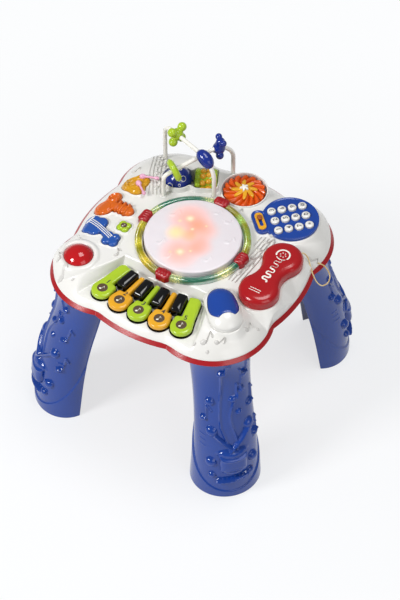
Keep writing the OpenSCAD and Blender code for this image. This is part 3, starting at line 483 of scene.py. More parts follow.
BROWN_ABS = moulded("brown_print", "#5A4530", "#4D3A27", 0.4)
KNOB_BROWN = moulded("knob_brown_abs", "#A5561A", "#8E4713", 0.25)
TUBE_WHITE = moulded("tube_white_abs", "#F1EFE8", "#E8E5DC", 0.2)
INK = moulded("dark_ink", "#2C2A33", "#25232C", 0.45)
print(len(bpy.data.materials), "materials so far")

# %% [markdown]
# ## Making a piece
# Every piece is made by the same few lines: its points go from millimetres to metres, its edges stay
# sharp only where faces meet at more than a set angle, and it is hung on the body that carries it.

# %% Make a piece


def piece(name, points, faces, material, body=TABLE, nodes=(), sharp=38, slot=None):
    mesh = bpy.data.meshes.new(name)
    mesh.from_pydata((np.asarray(points, float) * MM).tolist(), [], [list(face) for face in faces])
    mesh.update()
    mesh.shade_smooth()
    mesh.set_sharp_from_angle(angle=math.radians(sharp))
    mesh.materials.append(material)
    made = bpy.data.objects.new(name, mesh)
    bpy.context.scene.collection.objects.link(made)
    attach(made, body)
    if nodes:
        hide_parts(*nodes)
    return made


# %% Surfaces and plates


def around(at, reach):
    """The low and the high corner of a box round a place."""
    return np.array(at) - reach, np.array(at) + reach


def raised(surface, by):
    return lambda x, y: surface(x, y) + by


def level(z):
    return lambda x, y: np.full(np.shape(x), float(z))


def swollen(field, top, fall, reach):
    """A surface that drops by fall towards the outline of its field."""
    def surface(x, y):
        crest = top(x, y) if callable(top) else top
        return crest - fall * np.exp(np.minimum(field(x, y), 0) / reach)
    return surface


def plate(name, field, low, high, step, top, edge, base, material, body=TABLE, nodes=(), rounds=4, slot=None):
    """A closed solid with the field's outline, a top of its own height and a rounded upper edge."""
    flat, faces, loops = region(lambda x, y: field(x, y) + edge, low, high, step)
    skin = Skin(flat, faces, top)
    steps = []
    for k in range(1, rounds + 1):
        a = math.pi / 2 * k / rounds
        fall = edge * (1 - math.cos(a))
        steps.append((edge * math.sin(a), lambda x, y, fall=fall: top(x, y) - fall))
    foot = base if callable(base) else level(base)
    steps.append((edge, foot))
    under = skin.ring(flat, foot(flat[:, 0], flat[:, 1]))
    for loop in loops:
        last = skin.draw_out(loop, field, steps)
        skin.strip(last, [under[k] for k in loop])
    skin.faces += [[under[k] for k in reversed(face)] for face in faces]
    return piece(name, skin.points(), skin.faces, material, body, nodes, slot=slot)


# %% Turned and swept shapes


def tube_faces(rings, sides):
    """Faces between each ring of points and the next, where every ring closes on itself."""
    following = [*range(1, sides), 0]
    return [[i * sides + j, i * sides + k, (i + 1) * sides + k, (i + 1) * sides + j]
            for i in range(rings - 1) for j, k in enumerate(following)]


def lathe(profile, at, sides=96):
    """Points and faces of a profile of (radius, z) turned about an upright axis."""
    turns = 2 * math.pi * np.arange(sides) / sides
    points = [(at[0] + r * math.cos(a), at[1] + r * math.sin(a), z) for r, z in profile for a in turns]
    return points, tube_faces(len(profile), sides)


def arc(cx, cz, r, a0, a1, n):
    """Points on an arc in the plane of a profile, angles in degrees."""
    return [(cx + r * math.cos(math.radians(a0 + (a1 - a0) * k / n)),
             cz + r * math.sin(math.radians(a0 + (a1 - a0) * k / n))) for k in range(n + 1)]


def sweep(path, radius, sides=14, flat=1.0, ends=3):
    """Points and faces of a tube along a path, with round ends; flat below 1 squeezes it from above."""
    path = np.asarray(path, float)
    radius = np.broadcast_to(np.asarray(radius, float), len(path)).copy()
    ahead = np.gradient(path, axis=0)
    ahead /= np.linalg.norm(ahead, axis=1)[:, None]
    angles = [math.pi / 2 * (k + 0.35) / (ends + 0.35) for k in range(ends)]
    rings = [(path[0] - ahead[0] * radius[0] * math.cos(a), ahead[0], radius[0] * math.sin(a))
             for a in angles]
    rings += list(zip(path, ahead, radius))
    rings += [(path[-1] + ahead[-1] * radius[-1] * math.cos(a), ahead[-1], radius[-1] * math.sin(a))
              for a in reversed(angles)]
    points, side = [], None
    for centre, way, r in rings:
        if side is None:
            side = np.cross(way, (0.0, 0.0, 1.0) if abs(way[2]) < 0.9 else (1.0, 0.0, 0.0))
        side = side - way * (side @ way)
        side /= np.linalg.norm(side)
        up = np.cross(side, way)
        for j in range(sides):
            a = 2 * math.pi * j / sides
            points.append(centre + r * (math.cos(a) * side + flat * math.sin(a) * up))
    n = len(rings)
    faces = [face[::-1] for face in tube_faces(n, sides)]
    return np.array(points), faces + [list(range(sides)), [n * sides - 1 - j for j in range(sides)]]


def gathered(parts):
    """One list of points and faces from several."""
    points, faces = [], []
    for more_points, more_faces in parts:
        shift = len(points)
        points += [tuple(p) for p in more_points]
        faces += [[v + shift for v in face] for face in more_faces]
    return points, faces


# %% [markdown]
# ## The deck
# The deck is one white moulding. Its skin is the height field meshed at 1.1 mm, with openings where the
# drum, the buttons, the spinner and the rollers sit. From the border of each opening, rings of faces are
# drawn into it: a small rounded lip and a wall for a button, and a whole raised collar with a deep well
# for the rollers.

# %% Deck
DECK_STEP = 1.1
DECK_REACH, DRUM_HOLE_R, HOLE_LIP = 217, 83.0, 1.3
WELL_WALL, WELL_FOOT, BOWL_FOOT = 2.2, 0.9, 0.6
COLLAR_TOP, SPINNER_COLLAR_TOP = CROWN_Z + 11, CROWN_Z + 3
WELL_FLOOR, BOWL_FLOOR = AXLE_Z - 26, CROWN_Z - 15
OPENINGS = {
    "drum": (lambda x, y: disc(x, y, (0, 0), DRUM_HOLE_R), 0),
    "dome": (lambda x, y: disc(x, y, DOME_AT, DOME_R + 0.5), HOLE_LIP - 0.5),
    "guitar": (guitar, HOLE_LIP), "trumpet": (trumpet, HOLE_LIP), "snare": (snare, HOLE_LIP),
    "flower": (flower, HOLE_LIP),
    "wells": (wells, WELL_WALL + WELL_FOOT), "spinner": (spinner, WELL_WALL + BOWL_FOOT),
}


def below(depth):
    return lambda x, y: deck_z(x, y) - depth


def collar_steps(top, floor, foot):
    """Rings from the deck up the collar's outside, over its round top and down into the well."""
    half = WELL_WALL / 2
    steps = [(0.6 * foot, lambda x, y: deck_z(x, y) + 0.3), (0.9 * foot, lambda x, y: deck_z(x, y) + 0.9)]
    steps += [(foot, lambda x, y: np.minimum(deck_z(x, y) + 2.0, top - 1.2))]
    for k in range(7):
        a = math.pi * k / 6
        steps.append((foot + half - half * math.cos(a), level(top - half + half * math.sin(a))))
    steps += [(foot + WELL_WALL, level(top - 5)), (foot + WELL_WALL, level(floor))]
    return steps


def make_deck():
    def field(x, y):
        whole = rim(x, y) + LIP_W + 0.6
        for opening, margin in OPENINGS.values():
            whole = np.maximum(whole, margin - opening(x, y))
        return whole

    flat, faces, loops = region(field, *around((0, 0), DECK_REACH), DECK_STEP)
    skin = Skin(flat, faces, deck_z)
    lip = [(0.3, below(0.05)), (0.6, below(0.3)), (0.8, below(1.0)), (0.8, below(7.0))]
    for loop in loops:
        x, y = flat[loop, 0], flat[loop, 1]
        misses = {name: np.abs(opening(x, y) - margin).mean() for name, (opening, margin) in OPENINGS.items()}
        misses["rim"] = np.abs(rim(x, y) + LIP_W + 0.6).mean()
        name = min(misses, key=misses.get)
        if name == "rim":
            skin.draw_out(loop, rim, [(0.4, below(0.2)), (0.6, level(SEAM_Z + 0.5)), (0.6, level(SEAM_Z))])
        elif name in ("wells", "spinner"):
            sizes = ((COLLAR_TOP, WELL_FLOOR, WELL_FOOT) if name == "wells"
                     else (SPINNER_COLLAR_TOP, BOWL_FLOOR, BOWL_FOOT))
            last = skin.draw_out(loop, OPENINGS[name][0], collar_steps(*sizes), inward=True)
            skin.faces.append(last[::-1])
        else:
            skin.draw_out(loop, OPENINGS[name][0], lip, inward=True)
    return piece("deck_skin", skin.points(), skin.faces, WHITE_ABS, nodes=["deck_shell"], sharp=34,
                 slot="white_abs")


deck = make_deck()
print("deck skin:", len(deck.data.polygons), "faces")

# %% [markdown]
# ## Legs
# Each leg is a C-shaped shell, lofted from the foot to the rim, with its open side towards the middle of
# the table. The foot band stands a little proud under a curved crease. Flowing lines, a drum with its
# sticks, notes and round bosses are raised on the outer face, the way a mould carries its engraving.

# %% Legs
LEG_WALL, LEG_TOP_Z, LEG_SWELL = 3.0, RIM_Z - 0.05, 0.09
FOOT_AXIS, FOOT_R, LEG_LEAN, LEG_TAPER, LEG_FLARE = 231, 56, 53, 17, 20
HALF_OPENING, WIDER_MIDDLE = 103, 18


def leg_axis(t):
    """How far the leg's axis stands from the table's middle, where t goes from 0 at the foot to 1."""
    return FOOT_AXIS - LEG_LEAN * (1 - np.cos(np.pi * t ** 1.4)) / 2


def leg_radius(t):
    return FOOT_R - LEG_TAPER * t + LEG_FLARE * t ** 5


def bump_of(distance, soft):
    """1 inside an outline and 0 outside it, with a soft edge."""
    return blend_step(0.5 - distance / (2 * soft))


def dome_over(distance, reach):
    """A rounded swelling inside an outline, full height at a depth of reach."""
    return np.sqrt(np.clip(1 - (np.clip(distance / reach + 1, 0, 1)) ** 2, 0, 1))


# %% Leg figures
# places are (across, height) in millimetres on the unrolled face
BAND_STEP = 2.2
DRUM_MID, DRUM_TOP_Z, DRUM_LOW_Z = 2, 104, 68
STICKS = ((-30, 148, 9, 108, 2.6), (33, 150, -5, 108, 2.6), (-24, 42, 24, 49, 3.4))
BOSSES = ((-31, 149, 8.5), (34, 151, 8.5), (-35, 84, 8.5), (39, 78, 8.5), (-30, 206, 7.0), (24, 222, 6.0),
          (16, 182, 5.0), (31, 50, 6.5), (-34, 54, 6.0))
LEG_NOTES = ((-44, 170), (40, 186), (8, 210), (-10, 266), (30, 252), (50, 120))


def rounded_on(out, distance, reach, height):
    """The relief with one more rounded figure on the leg's face."""
    return np.maximum(out, -BAND_STEP + height * dome_over(distance, reach))


def leg_relief(u, z, turn):
    """How far the outer face stands out, across u, at height z, on the side given by turn in degrees."""
    side = np.abs(turn)
    crease = 13 + 62 * (side / 95) ** 2.1
    out = -BAND_STEP * blend_step((z - crease) / 2.4)
    out = out - 1.1 * blend_step((side - 74) / 1.6) * blend_step((z - crease - 4) / 3)
    flow = 12 * np.sin((z - 60) / 24.0) * np.clip((z - 60) / 90, 0, 1)
    for k in (-1, 1):
        ribbon = np.abs(u - flow * (0.6 + 0.4 * k) - 13 * k * np.clip((z - 96) / 60, 0, 1)) - 0.7
        out = out + 2.6 * bump_of(np.maximum(ribbon - 0.8, np.abs(z - 176) - 92), 1.4)
    head = (np.hypot((u - DRUM_MID) / 24, (z - DRUM_TOP_Z) / 9) - 1) * 7
    foot = (np.hypot((u - DRUM_MID) / 21, (z - DRUM_LOW_Z) / 9) - 1) * 7
    shell = box(u - DRUM_MID, z - 86, 22, 18, 3)
    out = rounded_on(out, np.minimum(np.minimum(head, foot), shell), 11, 9.5)
    hoops = 1.3 * bump_of(np.abs(foot + 2) - 1.0, 0.9) * (shell < 0)
    out = out + 1.3 * bump_of(np.abs(head) - 1.0, 0.9) + hoops
    for x0, z0, x1, z1, r in STICKS:
        out = rounded_on(out, bar(u, z, (x0, z0), (x1, z1), r), 4.4, 8.0)
    for at_u, at_z, r in BOSSES:
        out = rounded_on(out, np.hypot((u - at_u) / 1.15, z - at_z) - r, r, 1.6 + 0.68 * r)
    for at_u, at_z in LEG_NOTES:
        lean = (z - at_z) * 0.3
        stem = bar(u, z, (at_u + 6.5, at_z + 1), (at_u + 7.5, at_z + 26), 1.2)
        flag = bar(u, z, (at_u + 7.5, at_z + 26), (at_u + 15, at_z + 17), 1.5)
        out = rounded_on(out, np.hypot((u - at_u - lean) / 1.35, z - at_z) - 5.4, 5, 5.6)
        out = out + 2.7 * np.maximum(bump_of(stem - 0.3, 1.2), bump_of(flag - 0.3, 1.2))
    for k in range(3):
        line = np.maximum(np.abs(z - 112 - 11 * k) - 0.5, 44 - np.abs(u))
        out = out + 1.2 * bump_of(line - 0.3, 0.9) * blend_step((70 - side) / 4)
    return out


# %% Leg mesh
LEG_ROWS, LEG_COLUMNS, COARSE = 300, 210, 6
EDGE_SHARE, FOOT_ROUND = 0.012, 1.5
TONGUE_AXIS, TONGUE_RADII, TONGUE_ENDS = 178, (52, 58), (RIM_Z - 3, RIM_Z + 9)


def grid_faces(count, wide, start, flip):
    """Faces of a grid of count rows, whose rows hold wide points."""
    way = -1 if flip else 1
    corners = (0, 1, wide + 1, wide)[::way]
    return [[start + i * wide + k + v for v in corners] for i in range(count) for k in range(wide - 1)]


def grid_border(count, wide, start):
    """The points round a grid, in order."""
    last = wide - 1
    right = [i * wide + last for i in range(1, count + 1)]
    top = [count * wide + k for k in reversed(range(last))]
    left = [i * wide for i in reversed(range(1, count))]
    return [start + v for v in [*range(wide)] + right + top + left]


def tongue(side):
    """One of the two curved tongues with which a leg hangs in the base."""
    points = [(TONGUE_AXIS + r * math.cos(b), side * r * math.sin(b), z) for z in TONGUE_ENDS
              for b in (math.radians(66 + 2.75 * k) for k in range(9)) for r in TONGUE_RADII]
    ends = [[2 * k, 2 * k + 1, 2 * k + 3, 2 * k + 2] for k in range(8)]
    sides = [[2 * k + s, 2 * k + 2 + s, 2 * k + 20 + s, 2 * k + 18 + s] for k in range(8) for s in (0, 1)]
    ends += [[v + 18 for v in face] for face in ends]
    return points, [[0, 1, 19, 18], [16, 17, 35, 34]] + sides + ends


def leg_mesh():
    """A fine outer face and a coarse inner one, joined round their borders, and two tongues."""
    near_edge = 1 - EDGE_SHARE * (1 - np.sin(np.linspace(0, np.pi / 2, 5)))
    middle = np.linspace(-near_edge[0], near_edge[0], LEG_COLUMNS - 7)
    j_line = np.concatenate([-near_edge[:0:-1], middle, near_edge[1:]])
    low = FOOT_ROUND * (1 - np.cos(np.linspace(0, np.pi / 2, 5)))
    z_line = np.concatenate([low[:-1], np.linspace(low[-1], LEG_TOP_Z, LEG_ROWS - 3)])
    z, j = np.meshgrid(z_line, j_line, indexing="ij")
    t = z / LEG_TOP_Z
    turn = (HALF_OPENING + WIDER_MIDDLE * np.sin(np.pi * t)) * j
    a = np.radians(turn)
    r, axis = leg_radius(t), leg_axis(t)
    soft_side = 1 - np.sqrt(1 - np.clip((np.abs(j) - 1 + EDGE_SHARE) / EDGE_SHARE, 0, 1) ** 2)
    soft_foot = 1 - np.sqrt(1 - np.clip(1 - z / FOOT_ROUND, 0, 1) ** 2)
    relief = leg_relief(r * a, z, turn) * blend_step((1 - np.abs(j)) * 60)
    out = r + relief - 1.2 * soft_side - 0.9 * soft_foot
    broad = 1 + LEG_SWELL * (1 - t ** 4)
    outer = np.stack([axis + out * np.cos(a), broad * out * np.sin(a), z], -1).reshape(-1, 3)
    within = r - LEG_WALL
    inner = np.stack([axis + within * np.cos(a), broad * within * np.sin(a), z], -1)[::COARSE, ::COARSE]
    wide, inner_wide, inner_rows = LEG_COLUMNS + 1, LEG_COLUMNS // COARSE + 1, LEG_ROWS // COARSE
    faces = grid_faces(LEG_ROWS, wide, 0, False) + grid_faces(inner_rows, inner_wide, len(outer), True)
    fine, rough = grid_border(LEG_ROWS, wide, 0), grid_border(inner_rows, inner_wide, len(outer))
    fine, count = fine + fine[:1], len(rough)
    for k in range(count):
        faces.append(fine[k * COARSE:(k + 1) * COARSE + 1][::-1] + [rough[k], rough[(k + 1) % count]])
    shell = (np.concatenate([outer, inner.reshape(-1, 3)]), faces)
    return gathered([shell, tongue(-1), tongue(1)])


# %% Place the legs


def spun(points, turn, at=(0.0, 0.0)):
    p = np.array(points, float)
    c, s = math.cos(turn), math.sin(turn)
    return np.column_stack([at[0] + p[:, 0] * c - p[:, 1] * s, at[1] + p[:, 0] * s + p[:, 1] * c, p[:, 2]])


leg_points, leg_faces = leg_mesh()
for name, turn in (("front_left", 225), ("front_right", 315), ("back_right", 45), ("back_left", 135)):
    piece("leg_skin_" + name, spun(leg_points, math.radians(turn)), leg_faces, BLUE_ABS, name + "_leg",
          ["leg_" + name], sharp=50, slot="blue_abs")
print("leg skin:", len(leg_faces), "faces each")

# %% [markdown]
# ## Drum, light ring and clips
# The drum is a shallow dome of translucent polystyrene with lamps below it. A lamp under milky plastic
# shows as a soft spot of colour. No lamps stand under it here, so their light is painted on: the plastic
# gets a little emission that fades with the distance from each lamp, and a painted glow tint near each one.
# The ring round it is tinted acrylic over a pale strip of reflectors, and its own lamps are painted on the
# same way, with painted glints on small facets.

# %% Lit plastics
LIT_GRAIN_MM, LIT_GRAIN_DEPTH_MM, LIT_CLOUD_MM = 1.4, 0.012, 22


def lit_plastic(name, colour, spots, shader, facet_mm=0.0, stain=None):
    """Translucent plastic with its lamps' light painted on as emission: spots are (place in mm, reach in mm,
    colour, level).
    """
    material, tree = started(name)
    place = add(tree, "ShaderNodeTexCoord").outputs["Object"]
    light, painted_glow_share = None, None
    for at, reach, hue, strength in spots:
        gap = add(tree, "ShaderNodeVectorMath", {"operation": "DISTANCE", 1: [v * MM for v in at]},
                  {0: place})
        fade = add(tree, "ShaderNodeMapRange", {"interpolation_type": "SMOOTHERSTEP", 1: 0.0, 2: reach * MM,
                                                3: 1.0, 4: 0.0}, {0: gap.outputs["Value"]})
        tone = [v * strength for v in linear(hue)[:3]]
        more = add(tree, "ShaderNodeVectorMath", {"operation": "MULTIPLY_ADD", 1: tone}, {0: fade.outputs[0]})
        if light:
            tree.links.new(light, more.inputs[2])
        light = more.outputs[0]
        # painted glow: how far the colour turns towards the glow tint, which grows near each lamp
        if stain:
            painted_glow_step = add(tree, "ShaderNodeMath", {"operation": "MULTIPLY_ADD", 1: 0.6, 2: 0.0},
                       {0: fade.outputs[0]})
            if painted_glow_share:
                tree.links.new(painted_glow_share, painted_glow_step.inputs[2])
            painted_glow_share = painted_glow_step.outputs[0]
    clouds = add(tree, "ShaderNodeTexNoise", {"Scale": 1 / (LIT_CLOUD_MM * MM), "Detail": 3},
                 {"Vector": place})
    dim = [v * 0.93 for v in linear(colour)]
    tint = add(tree, "ShaderNodeMix", {"data_type": "RGBA", 6: linear(colour), 7: dim},
               {0: clouds.outputs["Fac"]})
    # painted glow: the colour turns towards the glow tint near the lamps, standing in for their light
    if stain:
        tint = add(tree, "ShaderNodeMix", {"data_type": "RGBA", 7: linear(stain)},
                   {0: painted_glow_share, 6: tint.outputs[2]})
    if facet_mm:
        facets = add(tree, "ShaderNodeTexVoronoi", {"Scale": 1 / (facet_mm * MM)}, {"Vector": place})
        # painted glints: a facet's painted lamp light is bright at its middle and dim at its border
        painted_glints = add(tree, "ShaderNodeMapRange",
                     {"interpolation_type": "SMOOTHERSTEP", 1: 0.1, 2: 0.55, 3: 2.2, 4: 0.45},
                     {0: facets.outputs["Distance"]})
        light = add(tree, "ShaderNodeVectorMath", {"operation": "MULTIPLY"},
                    {0: light, 1: painted_glints.outputs[0]}).outputs[0]
    grain = add(tree, "ShaderNodeTexNoise", {"Scale": 1 / (LIT_GRAIN_MM * MM), "Detail": 2},
                {"Vector": place})
    bump = add(tree, "ShaderNodeBump", {"Strength": 0.5, "Distance": LIT_GRAIN_DEPTH_MM * MM},
               {"Height": grain.outputs["Fac"]})
    finish = add(tree, "ShaderNodeBsdfPrincipled", {**shader, "Emission Strength": 1.0},
                 {"Base Color": tint.outputs[2], "Normal": bump.outputs[0], "Emission Color": light})
    add(tree, "ShaderNodeOutputMaterial", links={"Surface": finish.outputs[0]})
    return material


# %% Pad and ring plastics
PAD_LAMPS = [
    ((-22, 27, 350), 50, "#FF5A2A", 0.42), ((2, -44, 350), 46, "#FF5A2A", 0.42),
    ((8, 14, 350), 40, "#FF7A38", 0.26), ((24, -18, 350), 30, "#FF6A30", 0.2),
    ((-26, -12, 350), 24, "#F6D52A", 0.5), ((-4, -8, 350), 20, "#FFC07A", 0.3),
    ((-22, 27, 351), 12, "#FFE0C8", 0.7), ((2, -44, 351), 12, "#FFE0C8", 0.7),
    ((-34, 14, 351), 6, "#FFE6D0", 0.5), ((-6, 8, 351), 6, "#FFE6D0", 0.5),
    ((16, -34, 351), 5, "#FFE6D0", 0.5), ((10, 26, 351), 5, "#FFE6D0", 0.45),
    ((-12, -52, 351), 5, "#FFE6D0", 0.45)]
MILKY = {"IOR": 1.59, "Roughness": 0.3, "Subsurface Weight": 0.2, "Subsurface Radius": (0.006, 0.005, 0.005)}
TINTED = {"IOR": 1.49, "Roughness": 0.12, "Transmission Weight": 0.4}
RING_LAMPS_R, RING_LAMPS_Z, FACET_MM = 90.1, CROWN_Z + 7, 2.4


def on_ring(degrees):
    a = math.radians(degrees)
    return (RING_LAMPS_R * math.cos(a), RING_LAMPS_R * math.sin(a), RING_LAMPS_Z)


# the pad's lamps are painted on: emission spots, and a peach glow tint painted into its colour
PAD_PS = lit_plastic("translucent_polystyrene", "#E7E0E4", PAD_LAMPS, MILKY, stain="#E89880")
RING_YELLOW = lit_plastic("tinted_acrylic_yellow", "#A39B0E", [
    (on_ring(192), 20, "#E6D830", 0.3), (on_ring(218), 16, "#F2E658", 0.5),
    (on_ring(243), 24, "#F6CE40", 0.5), (on_ring(35), 34, "#12A878", 0.3),
    (on_ring(58), 18, "#9BEA9A", 0.5), (on_ring(20), 12, "#B8F0A0", 0.4)], TINTED, FACET_MM)
RING_GREEN = lit_plastic("tinted_acrylic_green", "#047A5B", [
    (on_ring(283), 20, "#FFE890", 0.6), (on_ring(335), 26, "#FFDF80", 0.62),
    (on_ring(168), 24, "#FFE890", 0.5), (on_ring(103), 20, "#FFE890", 0.42)], TINTED, FACET_MM)
REFLECTOR = moulded("reflector_polystyrene", "#F2F1E6", "#E5E4D6", 0.45)

# %% Drum pad
NOTE_LEAN = 0.35
PAD_MARKS = [((-52, 20), 3.4), ((-40, -46), 3.0), ((34, 52), 3.0), ((56, 14), 3.4), ((46, -38), 2.8),
             ((8, 60), 2.6), ((-12, -64), 2.6)]


def pad_z(x, y):
    return PAD_TOP - PAD_DOME_R + np.sqrt(PAD_DOME_R ** 2 - x ** 2 - y ** 2)


def note_field(x, y, at, size):
    """A plain quaver: a slanted head, a stem and a flag."""
    lx, ly = (x - at[0]) / size, (y - at[1]) / size
    head = np.hypot((lx - ly * NOTE_LEAN) / 1.3, ly) - 1.0
    stem = bar(lx, ly, (1.15, 0.1), (1.35, 4.6), 0.22)
    flag = bar(lx, ly, (1.35, 4.6), (2.7, 3.0), 0.3)
    return np.minimum(np.minimum(head, stem), flag) * size


def pad_top(x, y):
    z = pad_z(x, y)
    for at, size in PAD_MARKS:
        z = z + 0.7 * bump_of(note_field(x, y, at, size), 0.5)
    for k in range(3):
        arc_line = np.abs(np.hypot(x - 30, y + 96) - 150 - 7 * k) - 0.6
        ends = blend_step((x - 22) / 6) * blend_step((66 - np.hypot(x, y)) / 6)
        z = z + 0.45 * bump_of(arc_line, 0.5) * ends
    return z


plate("pad_skin", lambda x, y: disc(x, y, (0, 0), PAD_R), *around((0, 0), 83), 1.0, pad_top, 2.2,
      CROWN_Z - 5.5, PAD_PS, "drum", ["drum_pad"], rounds=5, slot="pad_translucent")
print("drum pad:", len(PAD_MARKS), "raised notes")

# %% Light ring
ring_mid = RING_R - RING_W / 2
ring_foot, ring_fine, ring_rib = CROWN_Z + 0.1, 144, 0.07


def swept_arc(section, a0, a1, steps, rib=0.0):
    """A flat section of (radius, z) carried round the middle from angle a0 to a1, closed at both ends."""
    n = len(section)
    points = []
    for k in range(steps + 1):
        a, less = math.radians(a0 + (a1 - a0) * k / steps), rib * (k % 2)
        for r, z in section:
            r, z = r + less * (ring_mid - r), z + less * (ring_foot - z)
            points.append((r * math.cos(a), r * math.sin(a), z))
    return points, tube_faces(steps + 1, n) + [list(range(n))[::-1], [steps * n + k for k in range(n)]]


def flat_section(half, low, high):
    return [(ring_mid - half, low), (ring_mid + half, low), (ring_mid + half, high), (ring_mid - half, high)]


ring_section = ([(RING_R - RING_W, ring_foot), (RING_R, ring_foot)]
                + arc(ring_mid, CROWN_Z + RING_H - RING_W / 2, RING_W / 2, 0, 180, 16))
strip_section = flat_section(3.6, CROWN_Z + 0.3, CROWN_Z + 2.4)
strip_section[3:3] = [(ring_mid + 2.8, CROWN_Z + 3.0), (ring_mid - 2.8, CROWN_Z + 3.0)]
rib_section = flat_section(4.6, CROWN_Z + 0.6, CROWN_Z + 4.6)
for name, starts, material in (("yellow", (0, 180), RING_YELLOW), ("green", (90, 270), RING_GREEN)):
    tubes, strips = [], []
    for start in starts:
        tubes.append(swept_arc(ring_section, start + 0.4, start + 89.6, ring_fine, ring_rib))
        strips.append(swept_arc(strip_section, start + 1.0, start + 89.0, 60))
        strips += [swept_arc(rib_section, start + 2 + 3 * k, start + 2 + 3 * k + 0.45, 1) for k in range(30)]
    piece("ring_skin_" + name, *gathered(tubes), material, TABLE, ["ring_" + name], slot="ring_" + name)
    piece("ring_reflector_" + name, *gathered(strips), REFLECTOR, TABLE, slot="ring_" + name)

# %% Ring clips
CLIP_X, CLIP_HALF, CLIP_GROOVES = 92.2, (9.9, 12.8), (-5.2, 0.0, 5.2)


def clip_field(x, y):
    return box(x - CLIP_X, y, *CLIP_HALF, 3.5)


def clip_top(x, y):
    z = CROWN_Z + 15 - 0.03 * (x - CLIP_X) ** 2
    for groove in CLIP_GROOVES:
        z = z - 1.1 * bump_of(np.abs(y - groove) - 0.45, 0.5) * blend_step((8 - np.abs(x - CLIP_X)) / 1.5)
    return z


for k in range(4):
    made = plate("clip_skin_%d" % k, clip_field, (78, -16), (106, 16), 0.6, clip_top, 4.4, CROWN_Z + 0.05,
                 RED_ABS, TABLE, ["ring_clips"] if k == 0 else [], rounds=7, slot="red_abs")
    made.data.transform(Matrix.Rotation(math.radians(90 * k), 4, "Z"))

# %% [markdown]
# ## Printed and raised marks
# Digits come from the built-in font, turned into thin raised shapes. Other marks are plain notes, rings
# and lines. Each mark follows the surface that it lies on.

# %% Marks
GLYPH_DEPTH, STROKE_SINK, SPOT_SINK = 0.25, 0.1, 0.08


def glyph(text, at, size, up_turn, lift):
    """Points and faces of a short text lying face up; up_turn is the direction of its top, in radians."""
    curve = bpy.data.curves.new("glyph", "FONT")
    curve.body, curve.size, curve.extrude = text, size, GLYPH_DEPTH / 2
    curve.align_x, curve.align_y, curve.resolution_u, curve.offset = "CENTER", "CENTER", 3, size * 0.012
    holder = bpy.data.objects.new("glyph", curve)
    bpy.context.scene.collection.objects.link(holder)
    mesh = holder.evaluated_get(bpy.context.evaluated_depsgraph_get()).to_mesh()
    flat = np.array([v.co for v in mesh.vertices])
    faces = [list(face.vertices) for face in mesh.polygons]
    middle = (flat.min(0) + flat.max(0)) / 2
    flat[:, :2] -= middle[:2]
    bpy.data.objects.remove(holder)
    bpy.data.curves.remove(curve)
    turned_flat = spun(flat, up_turn - math.pi / 2, at)
    turned_flat[:, 2] = flat[:, 2] + (lift(turned_flat[:, 0], turned_flat[:, 1]) if callable(lift) else lift)
    return turned_flat, faces


def stroke(path, width, height, surface, sides=10):
    """A raised line on a surface."""
    flat = np.array(path, float)
    z = surface(flat[:, 0], flat[:, 1]) if callable(surface) else np.full(len(flat), float(surface))
    return sweep(np.column_stack([flat, z - STROKE_SINK]), width / 2, sides, flat=2 * height / width, ends=2)


def spot(at, r, height, surface, squeeze=1.0, turn=0.0):
    """A small round boss on a surface."""
    points, rings, sides = [], 5, 20
    for k in range(rings + 1):
        a = math.pi / 2 * k / rings
        rho = max(r * math.cos(a), 0.02)
        for j in range(sides):
            b = 2 * math.pi * j / sides
            lx, ly = rho * math.cos(b), rho * squeeze * math.sin(b)
            x = at[0] + lx * math.cos(turn) - ly * math.sin(turn)
            y = at[1] + lx * math.sin(turn) + ly * math.cos(turn)
            base = float(surface(np.array(x), np.array(y))) if callable(surface) else surface
            points.append((x, y, base + height * math.sin(a) - SPOT_SINK))
    ends = [list(range(sides))[::-1], [rings * sides + j for j in range(sides)]]
    return points, tube_faces(rings + 1, sides) + ends


def quaver(at, size, surface, height=0.8, turn=0.0):
    """A note as a boss, a stem and a flag, all on one surface."""
    c, s = math.cos(turn), math.sin(turn)

    def put(p):
        return (at[0] + size * (p[0] * c - p[1] * s), at[1] + size * (p[0] * s + p[1] * c))

    flag = [put((1.2 + 1.5 * t, 4.8 - 1.0 * t - 0.9 * t * t)) for t in np.linspace(0, 1, 5)]
    stem = [put((1.05 + 0.03 * k, 0.2 + 0.92 * k)) for k in range(6)]
    return [spot(at, 1.35 * size, height * 1.3, surface, 0.72, turn + 0.35),
            stroke(stem, 0.42 * size, height, surface, 8), stroke(flag, 0.5 * size, height, surface, 8)]


# %% Deck embossing
STAFFS = [([(-157, 150), (-146, 128), (-136, 104), (-122, 80), (-108, 58)], (6.0, 2.6)),
          ([(106, 84), (104, 56), (103, 22), (101, -12), (99, -42)], (6.5, 0.6))]
DECK_NOTES = (((122, -168), 3.4, 0.2), ((140, -158), 2.6, -0.3), ((-150, -170), 3.2, 0.3),
              ((-166, -150), 2.6, 0.8), ((30, 92), 2.2, 0.1), ((178, 78), 2.6, -0.4),
              ((-92, -92), 2.6, 0.6), ((-176, 92), 2.4, -0.2), ((168, -112), 2.6, 0.4))
DECK_DOTS = ((-168, -86), (-176, -78), (-160, -92), (110, -176), (134, -176), (180, -96), (-128, -166),
             (60, 88))
KEEP_CLEAR = ((snare, 5), (guitar, 5), (handset, 6.5), (panel, 6), (wells, 9), (mouse, 8))


def staff_line(control):
    """A smooth line of 46 points through a few chosen ones."""
    control = np.array(control, float)
    t = np.linspace(0, len(control) - 1, 46)
    line = np.column_stack([np.interp(t, range(len(control)), control[:, k]) for k in (0, 1)])
    for _ in range(4):
        line[1:-1] = (line[:-2] + 2 * line[1:-1] + line[2:]) / 4
    return line


